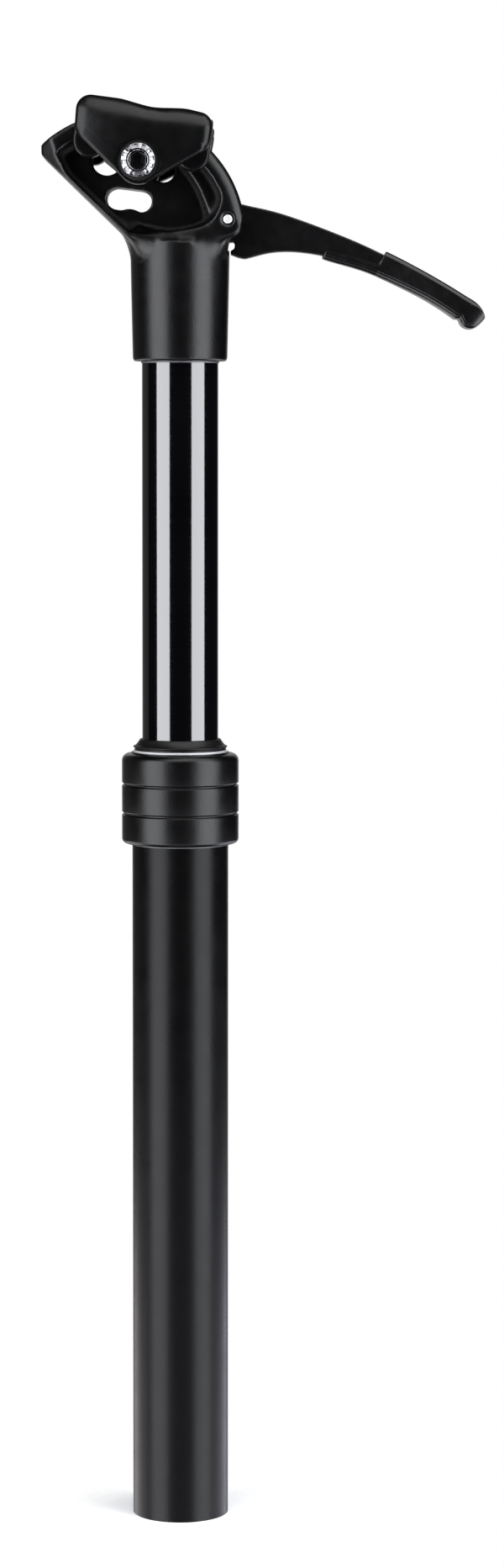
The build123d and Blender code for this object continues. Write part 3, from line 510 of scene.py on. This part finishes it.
def turnPiece(name, outline, bevel, sides=160, sharpAngle=20, smoothAngle=50):
    # a ring drawn out along its outline and closed on itself
    piece = drawRings(name, outline + outline[:1], sides)
    bpy.ops.mesh.select_all(action="SELECT")
    bpy.ops.mesh.remove_doubles(threshold=mergeDistance)
    bpy.ops.mesh.normals_make_consistent(inside=False)
    bpy.ops.object.mode_set(mode="OBJECT")
    easeEdges(piece, bevel, sharpAngle, smoothAngle)
    return piece


def roundedBy(distance, radius):
    # how far a rounded edge falls back at a distance from it
    inside = numpy.clip(distance, 0, radius)
    return radius - numpy.sqrt(radius ** 2 - (radius - inside) ** 2)


def finishPiece(piece, body, slot, paint, *nodes):
    # a piece without a body is left unattached
    piece.data.materials.clear()
    piece.data.materials.append(paint)
    if body:
        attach(piece, body)
    if nodes:
        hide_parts(*nodes)
    print(piece.name, "made:", len(piece.data.polygons), "faces")


# Head: the frame's own solid with cast corners, flared into the socket on both sides
headLook = {
    "grid": 0.0005,
    "cornerRounds": 2,
    "halfWidth": 0.0145,
    "arcX": -0.018,
    "arcZ": 0.4215,
    "arcRadius": 0.0394,
    "slopeFrom": 0.0350,
    "slopeDrop": 0.0019,
    "rimRound": 0.0011,
    "rimFrom": -4.0,
    "rimTo": 64.0,
    "rimFadeIn": 14.0,
    "rimFadeOut": 20.0,
    "socketFoot": 0.3817,
    "socketTop": 0.4100,
    "socketFootRadius": 0.0154,
    "socketTopRadius": 0.0161,
    "socketHeight": 0.0323,
    "socketEdges": (0.0013, 0.0010),
    "socketSkin": 0.0006,
    # softened places on both sides: centre, reach, rounds
    "spots": (((-0.0180, 0.0, 0.4215), 0.0090, 90), ((-0.0172, 0.0110, 0.4215), 0.0085, 90),
              ((0.0115, 0.0128, 0.4215), 0.0085, 110),
              ((-0.0100, 0.0125, 0.4237), 0.0045, 40), ((-0.0060, 0.0130, 0.4232), 0.0045, 40),
              ((-0.0015, 0.0130, 0.4232), 0.0045, 40), ((0.0030, 0.0130, 0.4238), 0.0045, 40),
              ((0.0035, 0.0105, 0.4420), 0.0055, 8), ((0.0065, 0.0105, 0.4370), 0.0055, 8),
              ((0.0085, 0.0105, 0.4320), 0.0055, 12), ((0.0095, 0.0110, 0.4275), 0.0060, 30),
              ((0.0095, 0.0125, 0.4440), 0.0055, 8), ((0.0120, 0.0125, 0.4390), 0.0055, 8),
              ((0.0130, 0.0125, 0.4340), 0.0055, 10), ((0.0125, 0.0125, 0.4290), 0.0055, 14),
              ((0.0150, 0.0145, 0.4490), 0.0070, 20), ((-0.0370, 0.0095, 0.4520), 0.0070, 30),
              ((-0.0345, 0.0140, 0.4400), 0.0060, 30), ((-0.0290, 0.0140, 0.4345), 0.0060, 30),
              ((-0.0235, 0.0140, 0.4290), 0.0060, 30), ((-0.0360, 0.0125, 0.4480), 0.0080, 30)),
    "lipMiddle": (-0.0036, 0.4234),
    "lipEnd": (0.00975, 0.0020),
    "lipHeight": 0.0046,
    "lipDepth": 0.0010,
    "lipFrom": (-0.0150, -0.0110),
    "lipTo": (0.0040, 0.0090),
    "lipWall": 0.0130,
    "lipInner": 0.0060,
    "lipSlack": 0.0006,
    "lipShape": 1.5,
    "cavityFull": 0.00006,
    "flareFoot": 0.0158,
    "flareHeights": (0.4125, 0.4155, 0.4190, 0.4227),
    "flareGrowth": (0.0, 0.12, 0.45, 1.0),
    "flareHalf": 0.0144,
    "flareRear": 0.0187,
    "flareFront": 0.0166,
    "flareSlot": 0.0043,
    "flareCuts": (-0.006, 0.004),
    "flareSides": 72,
    "flareLeast": 0.01,
    "lastRounds": 2,
    "axisGap": 0.001,
}


def makeFlare(name, reach, cuts, look):
    # a foot that grows from the socket's round into the casting's flat sides
    heights, foot = look["flareHeights"], look["flareFoot"]
    rings = [(foot, height) for height in heights]
    flare = drawRings(name, rings, look["flareSides"], "NGON")
    bpy.ops.mesh.edge_face_add()
    bpy.ops.object.mode_set(mode="OBJECT")
    for corner in flare.data.vertices:
        growth = numpy.interp(corner.co.z, heights, look["flareGrowth"])
        angle = math.atan2(corner.co.y, corner.co.x)
        limit = min(look["flareHalf"] / max(abs(math.sin(angle)), look["flareLeast"]),
                    reach / max(abs(math.cos(angle)), look["flareLeast"]))
        radius = foot + growth * (limit - foot)
        corner.co.x, corner.co.y = radius * math.cos(angle), radius * math.sin(angle)
    for place, normal in cuts:
        only(flare)
        bpy.ops.object.mode_set(mode="EDIT")
        bpy.ops.mesh.select_all(action="SELECT")
        bpy.ops.mesh.bisect(plane_co=place, plane_no=normal, use_fill=True, clear_outer=True)
        bpy.ops.object.mode_set(mode="OBJECT")
    return flare


def joinPieces(piece, others):
    bpy.ops.object.select_all(action="DESELECT")
    for other in others:
        other.select_set(True)
    piece.select_set(True)
    bpy.context.view_layer.objects.active = piece
    bpy.ops.object.join()
    bpy.ops.object.mode_set(mode="EDIT")
    bpy.ops.mesh.select_all(action="SELECT")
    bpy.ops.mesh.normals_make_consistent(inside=False)
    bpy.ops.object.mode_set(mode="OBJECT")


def turnLip(points, look):
    # the socket's upper edge leans in towards the pocket on both sides
    x, y, z = points.T
    away = numpy.hypot(x, y)
    middleX, middleZ = look["lipMiddle"]
    span, rise = look["lipEnd"]
    edge = middleZ + rise * ((x - middleX) / span) ** 2
    leftOuter, leftInner = look["lipFrom"]
    rightInner, rightOuter = look["lipTo"]
    left = numpy.clip((x - leftOuter) / (leftInner - leftOuter), 0, 1)
    right = numpy.clip((rightOuter - x) / (rightOuter - rightInner), 0, 1)
    up = numpy.clip(1 - (edge - z) / look["lipHeight"], 0, 1)
    onWall = (away > look["lipWall"]) & (z < edge + look["lipSlack"])
    onWall &= numpy.abs(y) > look["lipInner"]
    drop = look["lipDepth"] * up ** look["lipShape"] * left * right * onWall
    scale = 1 - drop / numpy.maximum(away, look["axisGap"])
    return numpy.column_stack([x * scale, y * scale, z])


def slopeRim(points, look):
    # the arc's front half leans back towards its outer edge and ends in a small round
    x, y, z = points.T
    away = numpy.hypot(x - look["arcX"], z - look["arcZ"])
    angle = numpy.degrees(numpy.arctan2(z - look["arcZ"], x - look["arcX"]))
    share = numpy.clip((away - look["slopeFrom"]) / (look["arcRadius"] - look["slopeFrom"]), 0, 1)
    drop = look["slopeDrop"] * share ** 2 + roundedBy(look["arcRadius"] - away, look["rimRound"])
    fade = numpy.clip((angle - look["rimFrom"]) / look["rimFadeIn"], 0, 1)
    fade = fade * numpy.clip((look["rimTo"] - angle) / look["rimFadeOut"], 0, 1)
    top = numpy.where(fade > 0, look["halfWidth"] - drop * fade, numpy.inf)
    return numpy.column_stack([x, numpy.sign(y) * numpy.minimum(numpy.abs(y), top), z])


def trueSocket(points, look):
    # keeps the socket's wall an exact taper below its shoulder
    x, y, z = points.T
    away = numpy.hypot(x, y)
    share = (z - look["socketFoot"]) / look["socketHeight"]
    wall = look["socketFootRadius"] + share * (look["socketTopRadius"] - look["socketFootRadius"])
    footEdge, topEdge = look["socketEdges"]
    straight = (z > look["socketFoot"] + footEdge) & (z < look["socketTop"] - topEdge)
    straight &= away > wall - look["socketSkin"]
    scale = numpy.where(straight, wall / numpy.maximum(away, look["axisGap"]), 1)
    return numpy.column_stack([x * scale, y * scale, z])


def makeHead():
    look = headLook
    head = copyNode("head", "headCasting")
    slot = look["flareSlot"]
    rearCut, frontCut = look["flareCuts"]
    rearCuts = [((rearCut, 0, 0), (1, 0, 0))]
    flares = [makeFlare("rearFlare", look["flareRear"], rearCuts, look)]
    for side in (-1, 1):
        cuts = [((frontCut, 0, 0), (-1, 0, 0)), ((0, side * slot, 0), (0, -side, 0))]
        flares.append(makeFlare("frontFlare", look["flareFront"], cuts, look))
    joinPieces(head, flares)
    remeshPiece(head, look["grid"])
    easeCorners(head, look["cornerRounds"])
    movePoints(head, slopeRim(pointsOf(head), look))
    movePoints(head, turnLip(pointsOf(head), look))
    for (x, y, z), reach, rounds in look["spots"]:
        for side in (-1, 1) if y else (1,):
            softenSpot(head, (x, side * y, z), reach, rounds)
    smoothPiece(head, look["lastRounds"])
    movePoints(head, trueSocket(pointsOf(head), look))
    markCavities(head, look["cavityFull"])
    finishPiece(head, "post", "head_black", paints["head_black"], "head")


makeHead()


# Saddle clamps: outer halves rolled over the rail, with a crisp lower edge
clampLook = {
    "grid": 0.0004,
    "outerRounds": 2,
    "rolledRounds": 3,
    "innerRounds": 24,
    "railX": -0.0112,
    "railZ": 0.456,
    "tilt": 7.4,
    "innerY": 0.0228,
    "outerY": 0.0296,
    "frameRound": 0.0036,
    "edgeRound": 0.0009,
    "corner": (0.0216, -0.0046),
    "top": ((-0.0223, 0.0075), (-0.0080, 0.0075), (0.0020, 0.0059), (0.0125, 0.0071),
            (0.0222, 0.0060)),
    "bossCentre": (-0.00011, -0.0116),
    "bossRadius": {"right": 0.0073, "left": 0.0054},
    "bossSteps": 9,
    "topSpread": 0.0018,
    "topSteps": 2,
    "rollFoot": -0.001,
    "rollEdge": 0.0236,
    "rollShape": 2.0,
    "endFrom": 0.0185,
    "endTo": 0.0226,
    "endEdge": 0.0258,
    "leanFrom": -0.0030,
    "leanOver": 0.0170,
    "leanDrop": 0.0023,
}


def clampOutline(look, bossRadius):
    # the clamp's outline in its own tilted side view, the boss's arc with its two tangents below
    cornerX, cornerZ = look["corner"]
    bossX, bossZ = look["bossCentre"]
    points = [(-cornerX, cornerZ)]
    away = math.hypot(cornerX + bossX, cornerZ - bossZ)
    lean = math.atan2(cornerZ - bossZ, cornerX + bossX)
    spread = math.acos(bossRadius / away)
    start, end = math.pi - lean + spread, 2 * math.pi + lean - spread
    for angle in numpy.linspace(start, end, look["bossSteps"]):
        points.append((bossX + bossRadius * math.cos(angle), bossZ + bossRadius * math.sin(angle)))
    points.append((cornerX, cornerZ))
    points.extend(reversed(look["top"]))
    return numpy.array(points)


def edgeDistance(places, outline):
    nearest = numpy.full(len(places), numpy.inf)
    for start, end in zip(outline, numpy.roll(outline, -1, axis=0)):
        along = end - start
        share = numpy.clip((places - start) @ along / (along @ along), 0, 1)
        gap = numpy.linalg.norm(places - start - share[:, None] * along, axis=1)
        nearest = numpy.minimum(nearest, gap)
    return nearest


def rollClamp(points, look, bossRadius):
    # presses the flat outer face into a pillow: round over the top, at both ends and to the rear
    x, y, z = points.T
    turn = math.radians(look["tilt"])
    along = (x - look["railX"]) * math.cos(turn) - (z - look["railZ"]) * math.sin(turn)
    up = (x - look["railX"]) * math.sin(turn) + (z - look["railZ"]) * math.cos(turn)
    outer, inner = look["outerY"], look["innerY"]
    distance = edgeDistance(numpy.column_stack([along, up]), clampOutline(look, bossRadius))
    was = outer - roundedBy(distance, look["frameRound"])
    crisp = outer - roundedBy(distance, look["edgeRound"])
    tops = numpy.array(look["top"])
    spread = look["topSpread"]
    steps = range(-look["topSteps"], look["topSteps"] + 1)
    height = sum(numpy.interp(along + step * spread, *tops.T) for step in steps) / len(steps)
    rise = numpy.clip((up - look["rollFoot"]) / (height - look["rollFoot"]), 0, 1)
    shape = look["rollShape"]
    roll = look["rollEdge"] + (outer - look["rollEdge"]) * (1 - rise ** shape) ** (1 / shape)
    endLength = look["endTo"] - look["endFrom"]
    reach = numpy.clip((numpy.abs(along) - look["endFrom"]) / endLength, 0, 1)
    end = look["endEdge"] + (outer - look["endEdge"]) * numpy.sqrt(1 - reach ** 2)
    lean = numpy.clip((look["leanFrom"] - along) / look["leanOver"], 0, 1)
    end = end - look["leanDrop"] * lean ** 2
    depth = outer - inner
    scale = (crisp - inner) / (was - inner) * (roll - inner) / depth * (end - inner) / depth
    depthNow = numpy.clip(numpy.abs(y) - inner, 0, None)
    newY = numpy.where(numpy.abs(y) > inner, inner + depthNow * scale, numpy.abs(y))
    return numpy.column_stack([x, numpy.sign(y) * newY, z])


def makeClamps():
    look = clampLook
    for side in ("right", "left"):
        outer = copyNode("outer_clamp_" + side, "outerClamp_" + side)
        remeshPiece(outer, look["grid"], look["outerRounds"])
        movePoints(outer, rollClamp(pointsOf(outer), look, look["bossRadius"][side]))
        smoothPiece(outer, look["rolledRounds"])
        finishPiece(outer, side + "_clamp", "clamp_black", paints["clamp_black"],
                    "outer_clamp_" + side)
        inner = copyNode("inner_clamp_" + side, "innerClamp_" + side)
        remeshPiece(inner, look["grid"], look["innerRounds"])
        finishPiece(inner, "saddle_clamps", "clamp_black", paints["clamp_black"],
                    "inner_clamp_" + side)


makeClamps()


# Lever: a stamped blade with eased edges
leverLook = {"grid": 0.00036, "rounds": 3}


def makeLever():
    lever = copyNode("lever", "leverBlade")
    remeshPiece(lever, leverLook["grid"], leverLook["rounds"])
    finishPiece(lever, "lever", "lever_black", paints["lever_black"], "lever")


makeLever()


# Grip: moulded over the lever, with a thin pad on top, a bright shoulder and a soft lip below
gripLook = {
    # in mm: foot x, foot z, top x, top z, half width at foot and top, share of the pad
    "sections": (
        (45.9, 415.0, 47.3, 418.2, 3.6, 3.3, 0.0), (46.6, 414.7, 48.4, 418.7, 3.65, 3.3, 0.0),
        (49.5, 413.8, 51.3, 417.8, 3.7, 3.3, 0.0), (52.8, 412.9, 54.7, 416.9, 3.75, 3.3, 0.0),
        (56.2, 412.0, 58.1, 416.1, 3.75, 3.3, 0.0), (60.0, 410.8, 61.9, 414.9, 3.8, 3.3, 0.0),
        (63.1, 409.55, 65.0, 413.7, 3.8, 3.3, 0.0), (63.4, 409.45, 66.9, 417.2, 3.8, 3.6, 1.0),
        (63.5, 409.4, 67.0, 417.3, 3.8, 3.65, 1.0), (68.0, 407.4, 71.8, 414.9, 4.5, 4.4, 1.0),
        (72.0, 405.5, 75.9, 412.7, 5.3, 5.3, 1.0), (76.0, 403.6, 79.9, 410.5, 6.1, 6.1, 1.0),
        (80.0, 401.5, 83.9, 408.2, 6.9, 6.9, 1.0), (84.0, 399.1, 88.1, 405.7, 7.6, 7.6, 1.0),
        (87.5, 396.8, 91.7, 403.4, 8.1, 8.1, 1.0), (89.5, 395.2, 93.8, 402.1, 8.3, 8.3, 1.0),
        (90.2, 395.6, 94.5, 401.7, 8.4, 8.4, 1.0), (90.8, 395.2, 95.0, 401.4, 8.4, 8.4, 1.0),
        (91.3, 393.5, 95.9, 400.8, 8.4, 8.4, 1.0), (92.6, 392.5, 97.4, 399.4, 8.3, 8.3, 0.4),
        (94.4, 392.1, 98.5, 397.6, 8.0, 8.0, 0.0), (96.0, 392.5, 99.0, 396.2, 7.4, 7.4, 0.0),
        (97.3, 393.6, 98.9, 395.2, 6.4, 6.4, 0.0),
    ),
    # inwards from the side, down from the top: the pad, the shoulder and the side
    "fromTop": ((1.30, 0.0), (0.86, 0.0), (0.78, 0.08), (0.76, 0.42), (0.72, 0.48), (0.16, 1.22),
                (0.0, 1.40)),
    # inwards from the side, up from the foot: the side's end and the soft lip
    "fromFoot": ((0.0, 2.30), (0.0, 1.75), (0.10, 1.62), (0.10, 1.50), (0.04, 1.30), (0.12, 0.90),
                 (0.42, 0.48), (0.95, 0.16), (1.80, 0.0)),
    "plainest": 0.06,
    "fullHeight": 4.0,
    "levels": 2,
}


def gripRing(section):
    # one cross-section in metres, from the middle of its top round to the foot and back
    footX, footZ, topX, topZ, half, topHalf, share = section
    height = math.hypot(topX - footX, topZ - footZ)
    squeeze = min(1, height / gripLook["fullHeight"])
    side = [(0.0, 0.0), (topHalf / 2, 0.0)]
    formed = max(share, gripLook["plainest"])
    side += [(topHalf - inward * formed, down * squeeze * formed)
             for inward, down in gripLook["fromTop"]]
    side += [(half - inward, height - up * squeeze) for inward, up in gripLook["fromFoot"]]
    side += [(half / 3, height), (0.0, height)]
    ring = side + [(-across, down) for across, down in reversed(side[1:-1])]
    return [((topX + (footX - topX) * down / height) / 1000, across / 1000,
             (topZ + (footZ - topZ) * down / height) / 1000) for across, down in ring]


def makeGrip():
    look = gripLook
    rings = [gripRing(section) for section in look["sections"]]
    ringStep = 0.001
    plain = [(ringStep, ringStep * level) for level in range(len(rings))]
    grip = drawRings("leverGripPad", plain, len(rings[0]), "NGON")
    bpy.ops.mesh.edge_face_add()
    bpy.ops.object.mode_set(mode="OBJECT")
    # each ring of the plain cylinder takes the place of its section
    first = grip.data.vertices[0].co
    start = math.atan2(first.y, first.x)
    for corner in grip.data.vertices:
        level = round(corner.co.z / ringStep)
        turn = (math.atan2(corner.co.y, corner.co.x) - start) / (2 * math.pi) % 1
        corner.co = rings[level][round(turn * len(rings[0])) % len(rings[0])]
    bpy.ops.object.mode_set(mode="EDIT")
    bpy.ops.mesh.select_all(action="SELECT")
    bpy.ops.mesh.normals_make_consistent(inside=False)
    bpy.ops.object.mode_set(mode="OBJECT")
    smooth = grip.modifiers.new("softened", "SUBSURF")
    smooth.levels = smooth.render_levels = look["levels"]
    bpy.ops.object.modifier_apply(modifier=smooth.name)
    bpy.ops.object.shade_smooth()
    finishPiece(grip, "lever", "grip_black", paints["grip_black"], "lever_grip")


makeGrip()


# Valve spring: the frame's coil, joined up, smoothly shaded and left without a body
springLook = {"smoothAngle": 40}


def makeSpring():
    spring = copyNode("valve_spring", "valveCoil")
    bpy.ops.object.shade_smooth_by_angle(angle=math.radians(springLook["smoothAngle"]))
    heights = pointsOf(spring)[:, 2]
    finishPiece(spring, None, "plain_steel", paints["plain_steel"], "valve_spring")
    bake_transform(spring)


makeSpring()


# Wiper: rubber with a thin lip over its steel ring, a cone and a fine mouth on the stanchion
wiperLook = {
    "foot": 0.2549,
    "outline": ((0.01500, 0.0000), (0.01500, 0.0006), (0.01545, 0.0010), (0.01545, 0.00125),
                (0.01485, 0.0015), (0.01455, 0.0017), (0.01350, 0.0031), (0.01330, 0.0035),
                (0.01295, 0.00365), (0.01256, 0.0037), (0.01252, 0.0034), (0.01290, 0.0012),
                (0.01290, -0.0050), (0.01450, -0.0050), (0.01450, 0.0000)),
    "bevel": 0.00008,
}


def makeWiper():
    look = wiperLook
    outline = [(radius, look["foot"] + height) for radius, height in look["outline"]]
    seal = turnPiece("wiperRubber", outline, look["bevel"])
    finishPiece(seal, "frame_side", "seal_rubber", paints["seal_rubber"], "wiper_seal")


makeWiper()


# Collar: three bands between two turned grooves, and a fine dark rim round the steel ring's lower
# edge, painted shade standing in for the shadowed gap between ring and collar
collarLook = {
    "foot": 0.2242,
    "height": 0.0296,
    "radius": 0.0192,
    "topRound": 0.0024,
    "footRound": 0.0016,
    "grooves": (0.335, 0.66),
    "grooveWidth": 0.0011,
    "grooveDepth": 0.00055,
    "floorShare": 0.3,
    # painted shade: a thin raised rim in the collar's black that hides the steel ring's lower edge
    # where the gap lies in shadow
    "rim": (0.01555, 0.0161),
    "rimHeight": 0.00045,
    "mouth": 0.0146,
    "bore": 0.01545,
    "boreTop": 0.2476,
    "roundSteps": 7,
    "bevel": 0.00014,
}


def quarterRound(radius, level, size, start, steps):
    # a rounded corner of the outline, on from a start angle
    points = []
    for turn in numpy.linspace(start, start + 90, steps):
        angle = math.radians(turn)
        side = radius - size * (1 - math.cos(angle))
        points.append((side, level + size * math.sin(angle)))
    return points


def collarOutline(look):
    foot, radius, steps = look["foot"], look["radius"], look["roundSteps"]
    footRound, topRound = look["footRound"], look["topRound"]
    top = foot + look["height"]
    deep = radius - look["grooveDepth"]
    wide = look["grooveWidth"] / 2
    floor = look["floorShare"] * wide
    outline = [(look["bore"], foot)]
    outline += quarterRound(radius, foot + footRound, footRound, -90, steps)
    for share in look["grooves"]:
        middle = foot + share * look["height"]
        outline += [(radius, middle - wide), (deep, middle - floor), (deep, middle + floor),
                    (radius, middle + wide)]
    outline += quarterRound(radius, top - topRound, topRound, 0, steps)
    # the dark rim is painted shade: it covers the steel ring's lower edge in place of the shadowed
    # gap
    rimInside, rimOutside = look["rim"]
    rimTop = top + look["rimHeight"]
    outline += [(rimOutside, top), (rimOutside, rimTop), (rimInside, rimTop), (rimInside, top)]
    mouth, boreTop = look["mouth"], look["boreTop"]
    outline += [(mouth, top), (mouth, boreTop), (look["bore"], boreTop)]
    return outline


def makeCollar():
    collar = turnPiece("threadedCollar", collarOutline(collarLook), collarLook["bevel"])
    finishPiece(collar, "frame_side", "tube_black", paints["collar"], "collar")


makeCollar()


# Clamp bolt: cone face with twelve notches, a groove and a hexagon socket
boltLook = {
    "x": -0.0128,
    "z": 0.4445,
    "face": -0.0329,
    "tip": 0.0290,
    "shaft": 0.0030,
    "sides": 48,
    "notchEvery": 4,
    "notchWide": 2,
    "notchDepth": 0.0005,
    "notchSlope": 0.00012,
    "outline": ((0.0030, 0.0042), (0.00545, 0.0042), (0.00545, 0.0010), (0.00528, 0.00085),
                (0.00385, 0.00008), (0.00372, 0.0), (0.00362, 0.00050), (0.00338, 0.00050),
                (0.00328, 0.00022), (0.00305, 0.00012)),
    "cone": (0.0040, 0.0052),
    "coneDepth": 0.0009,
    "socket": 0.00289,
    "socketDepth": 0.0028,
    "bevel": 0.00004,
    "sharpAngle": 25,
    "smoothAngle": 30,
}


def hexReach(angle, corner):
    # how far a hexagon's side lies from its middle at an angle
    sixth = math.radians(60)
    within = (angle + sixth / 2) % sixth - sixth / 2
    return corner * math.cos(sixth / 2) / math.cos(within)


def makeBolt():
    look = boltLook
    # drawn about the upright axis first, face upwards at zero height, then laid over
    outline = [(look["shaft"], look["face"] - look["tip"])]
    outline += [(radius, -depth) for radius, depth in look["outline"]]
    bolt = drawRings("clampBoltChrome", outline, look["sides"], "NGON")
    # the last ring becomes the hexagon, and sinks
    bpy.ops.mesh.extrude_edges_move(TRANSFORM_OT_translate={"value": (0, 0, 0)})
    bpy.ops.object.mode_set(mode="OBJECT")
    for corner in bolt.data.vertices:
        if corner.select:
            angle = math.atan2(corner.co.y, corner.co.x)
            reach = hexReach(angle, look["socket"])
            corner.co.x, corner.co.y = reach * math.cos(angle), reach * math.sin(angle)
    bpy.ops.object.mode_set(mode="EDIT")
    bpy.ops.mesh.extrude_edges_move(TRANSFORM_OT_translate={"value": (0, 0, -look["socketDepth"])})
    bpy.ops.mesh.edge_face_add()
    bpy.ops.mesh.select_all(action="SELECT")
    bpy.ops.mesh.normals_make_consistent(inside=False)
    bpy.ops.mesh.select_all(action="DESELECT")
    bpy.ops.object.mode_set(mode="OBJECT")
    step = math.radians(360 / look["sides"])
    inner, outer = look["cone"]
    for face in bolt.data.polygons:
        middle = face.center
        onCone = inner < math.hypot(middle.x, middle.y) < outer and middle.z > -look["coneDepth"]
        number = round(math.atan2(middle.y, middle.x) / step - 0.5)
        face.select = onCone and number % look["notchEvery"] < look["notchWide"]
    bpy.ops.object.mode_set(mode="EDIT")
    bpy.ops.mesh.inset(thickness=look["notchSlope"], depth=-look["notchDepth"])
    bpy.ops.mesh.select_all(action="SELECT")
    bpy.ops.transform.rotate(value=-math.radians(90), orient_axis="X", center_override=(0, 0, 0))
    bpy.ops.transform.translate(value=(look["x"], look["face"], look["z"]))
    bpy.ops.mesh.normals_make_consistent(inside=False)
    bpy.ops.object.mode_set(mode="OBJECT")
    easeEdges(bolt, look["bevel"], look["sharpAngle"], look["smoothAngle"])
    finishPiece(bolt, "right_clamp", "bolt_steel", paints["bolt_steel"], "clamp_bolt")


makeBolt()


# Lever pin: both ends chamfered
pinLook = {"chamfer": 0.00042, "sharpAngle": 50, "smoothAngle": 30}


def makePin():
    pin = copyNode("lever_pin", "leverPinTurned")
    easeEdges(pin, pinLook["chamfer"], pinLook["sharpAngle"], pinLook["smoothAngle"])
    finishPiece(pin, "post", "pin_steel", paints["pin_steel"], "lever_pin")


makePin()


# Fine bright lines: the bonding under the socket, and a painted highlight where the tube enters
# the collar: a pale steel ring standing in for the reflection there
lineLooks = {
    "socketSeam": {"body": "post", "radius": 0.0125, "proud": 0.00022, "foot": 0.38115,
                   "height": 0.0006, "sunk": 0.0002, "bevel": 0.0001},
    # painted highlight: this pale ring stands in for the reflection where the tube enters the
    # collar
    "collarFootLine": {"body": "frame_side", "radius": 0.0158, "proud": 0.0003, "foot": 0.22375,
                       "height": 0.0005, "sunk": 0.0002, "bevel": 0.0001},
}


def makeLine(name, look):
    inside, outside = look["radius"] - look["sunk"], look["radius"] + look["proud"]
    foot, top = look["foot"], look["foot"] + look["height"]
    outline = [(inside, foot), (outside, foot), (outside, top), (inside, top)]
    line = turnPiece(name, outline, look["bevel"])
    finishPiece(line, look["body"], "plain_steel", paints["fineLine"])


for lineName, lineLook in lineLooks.items():
    makeLine(lineName, lineLook)
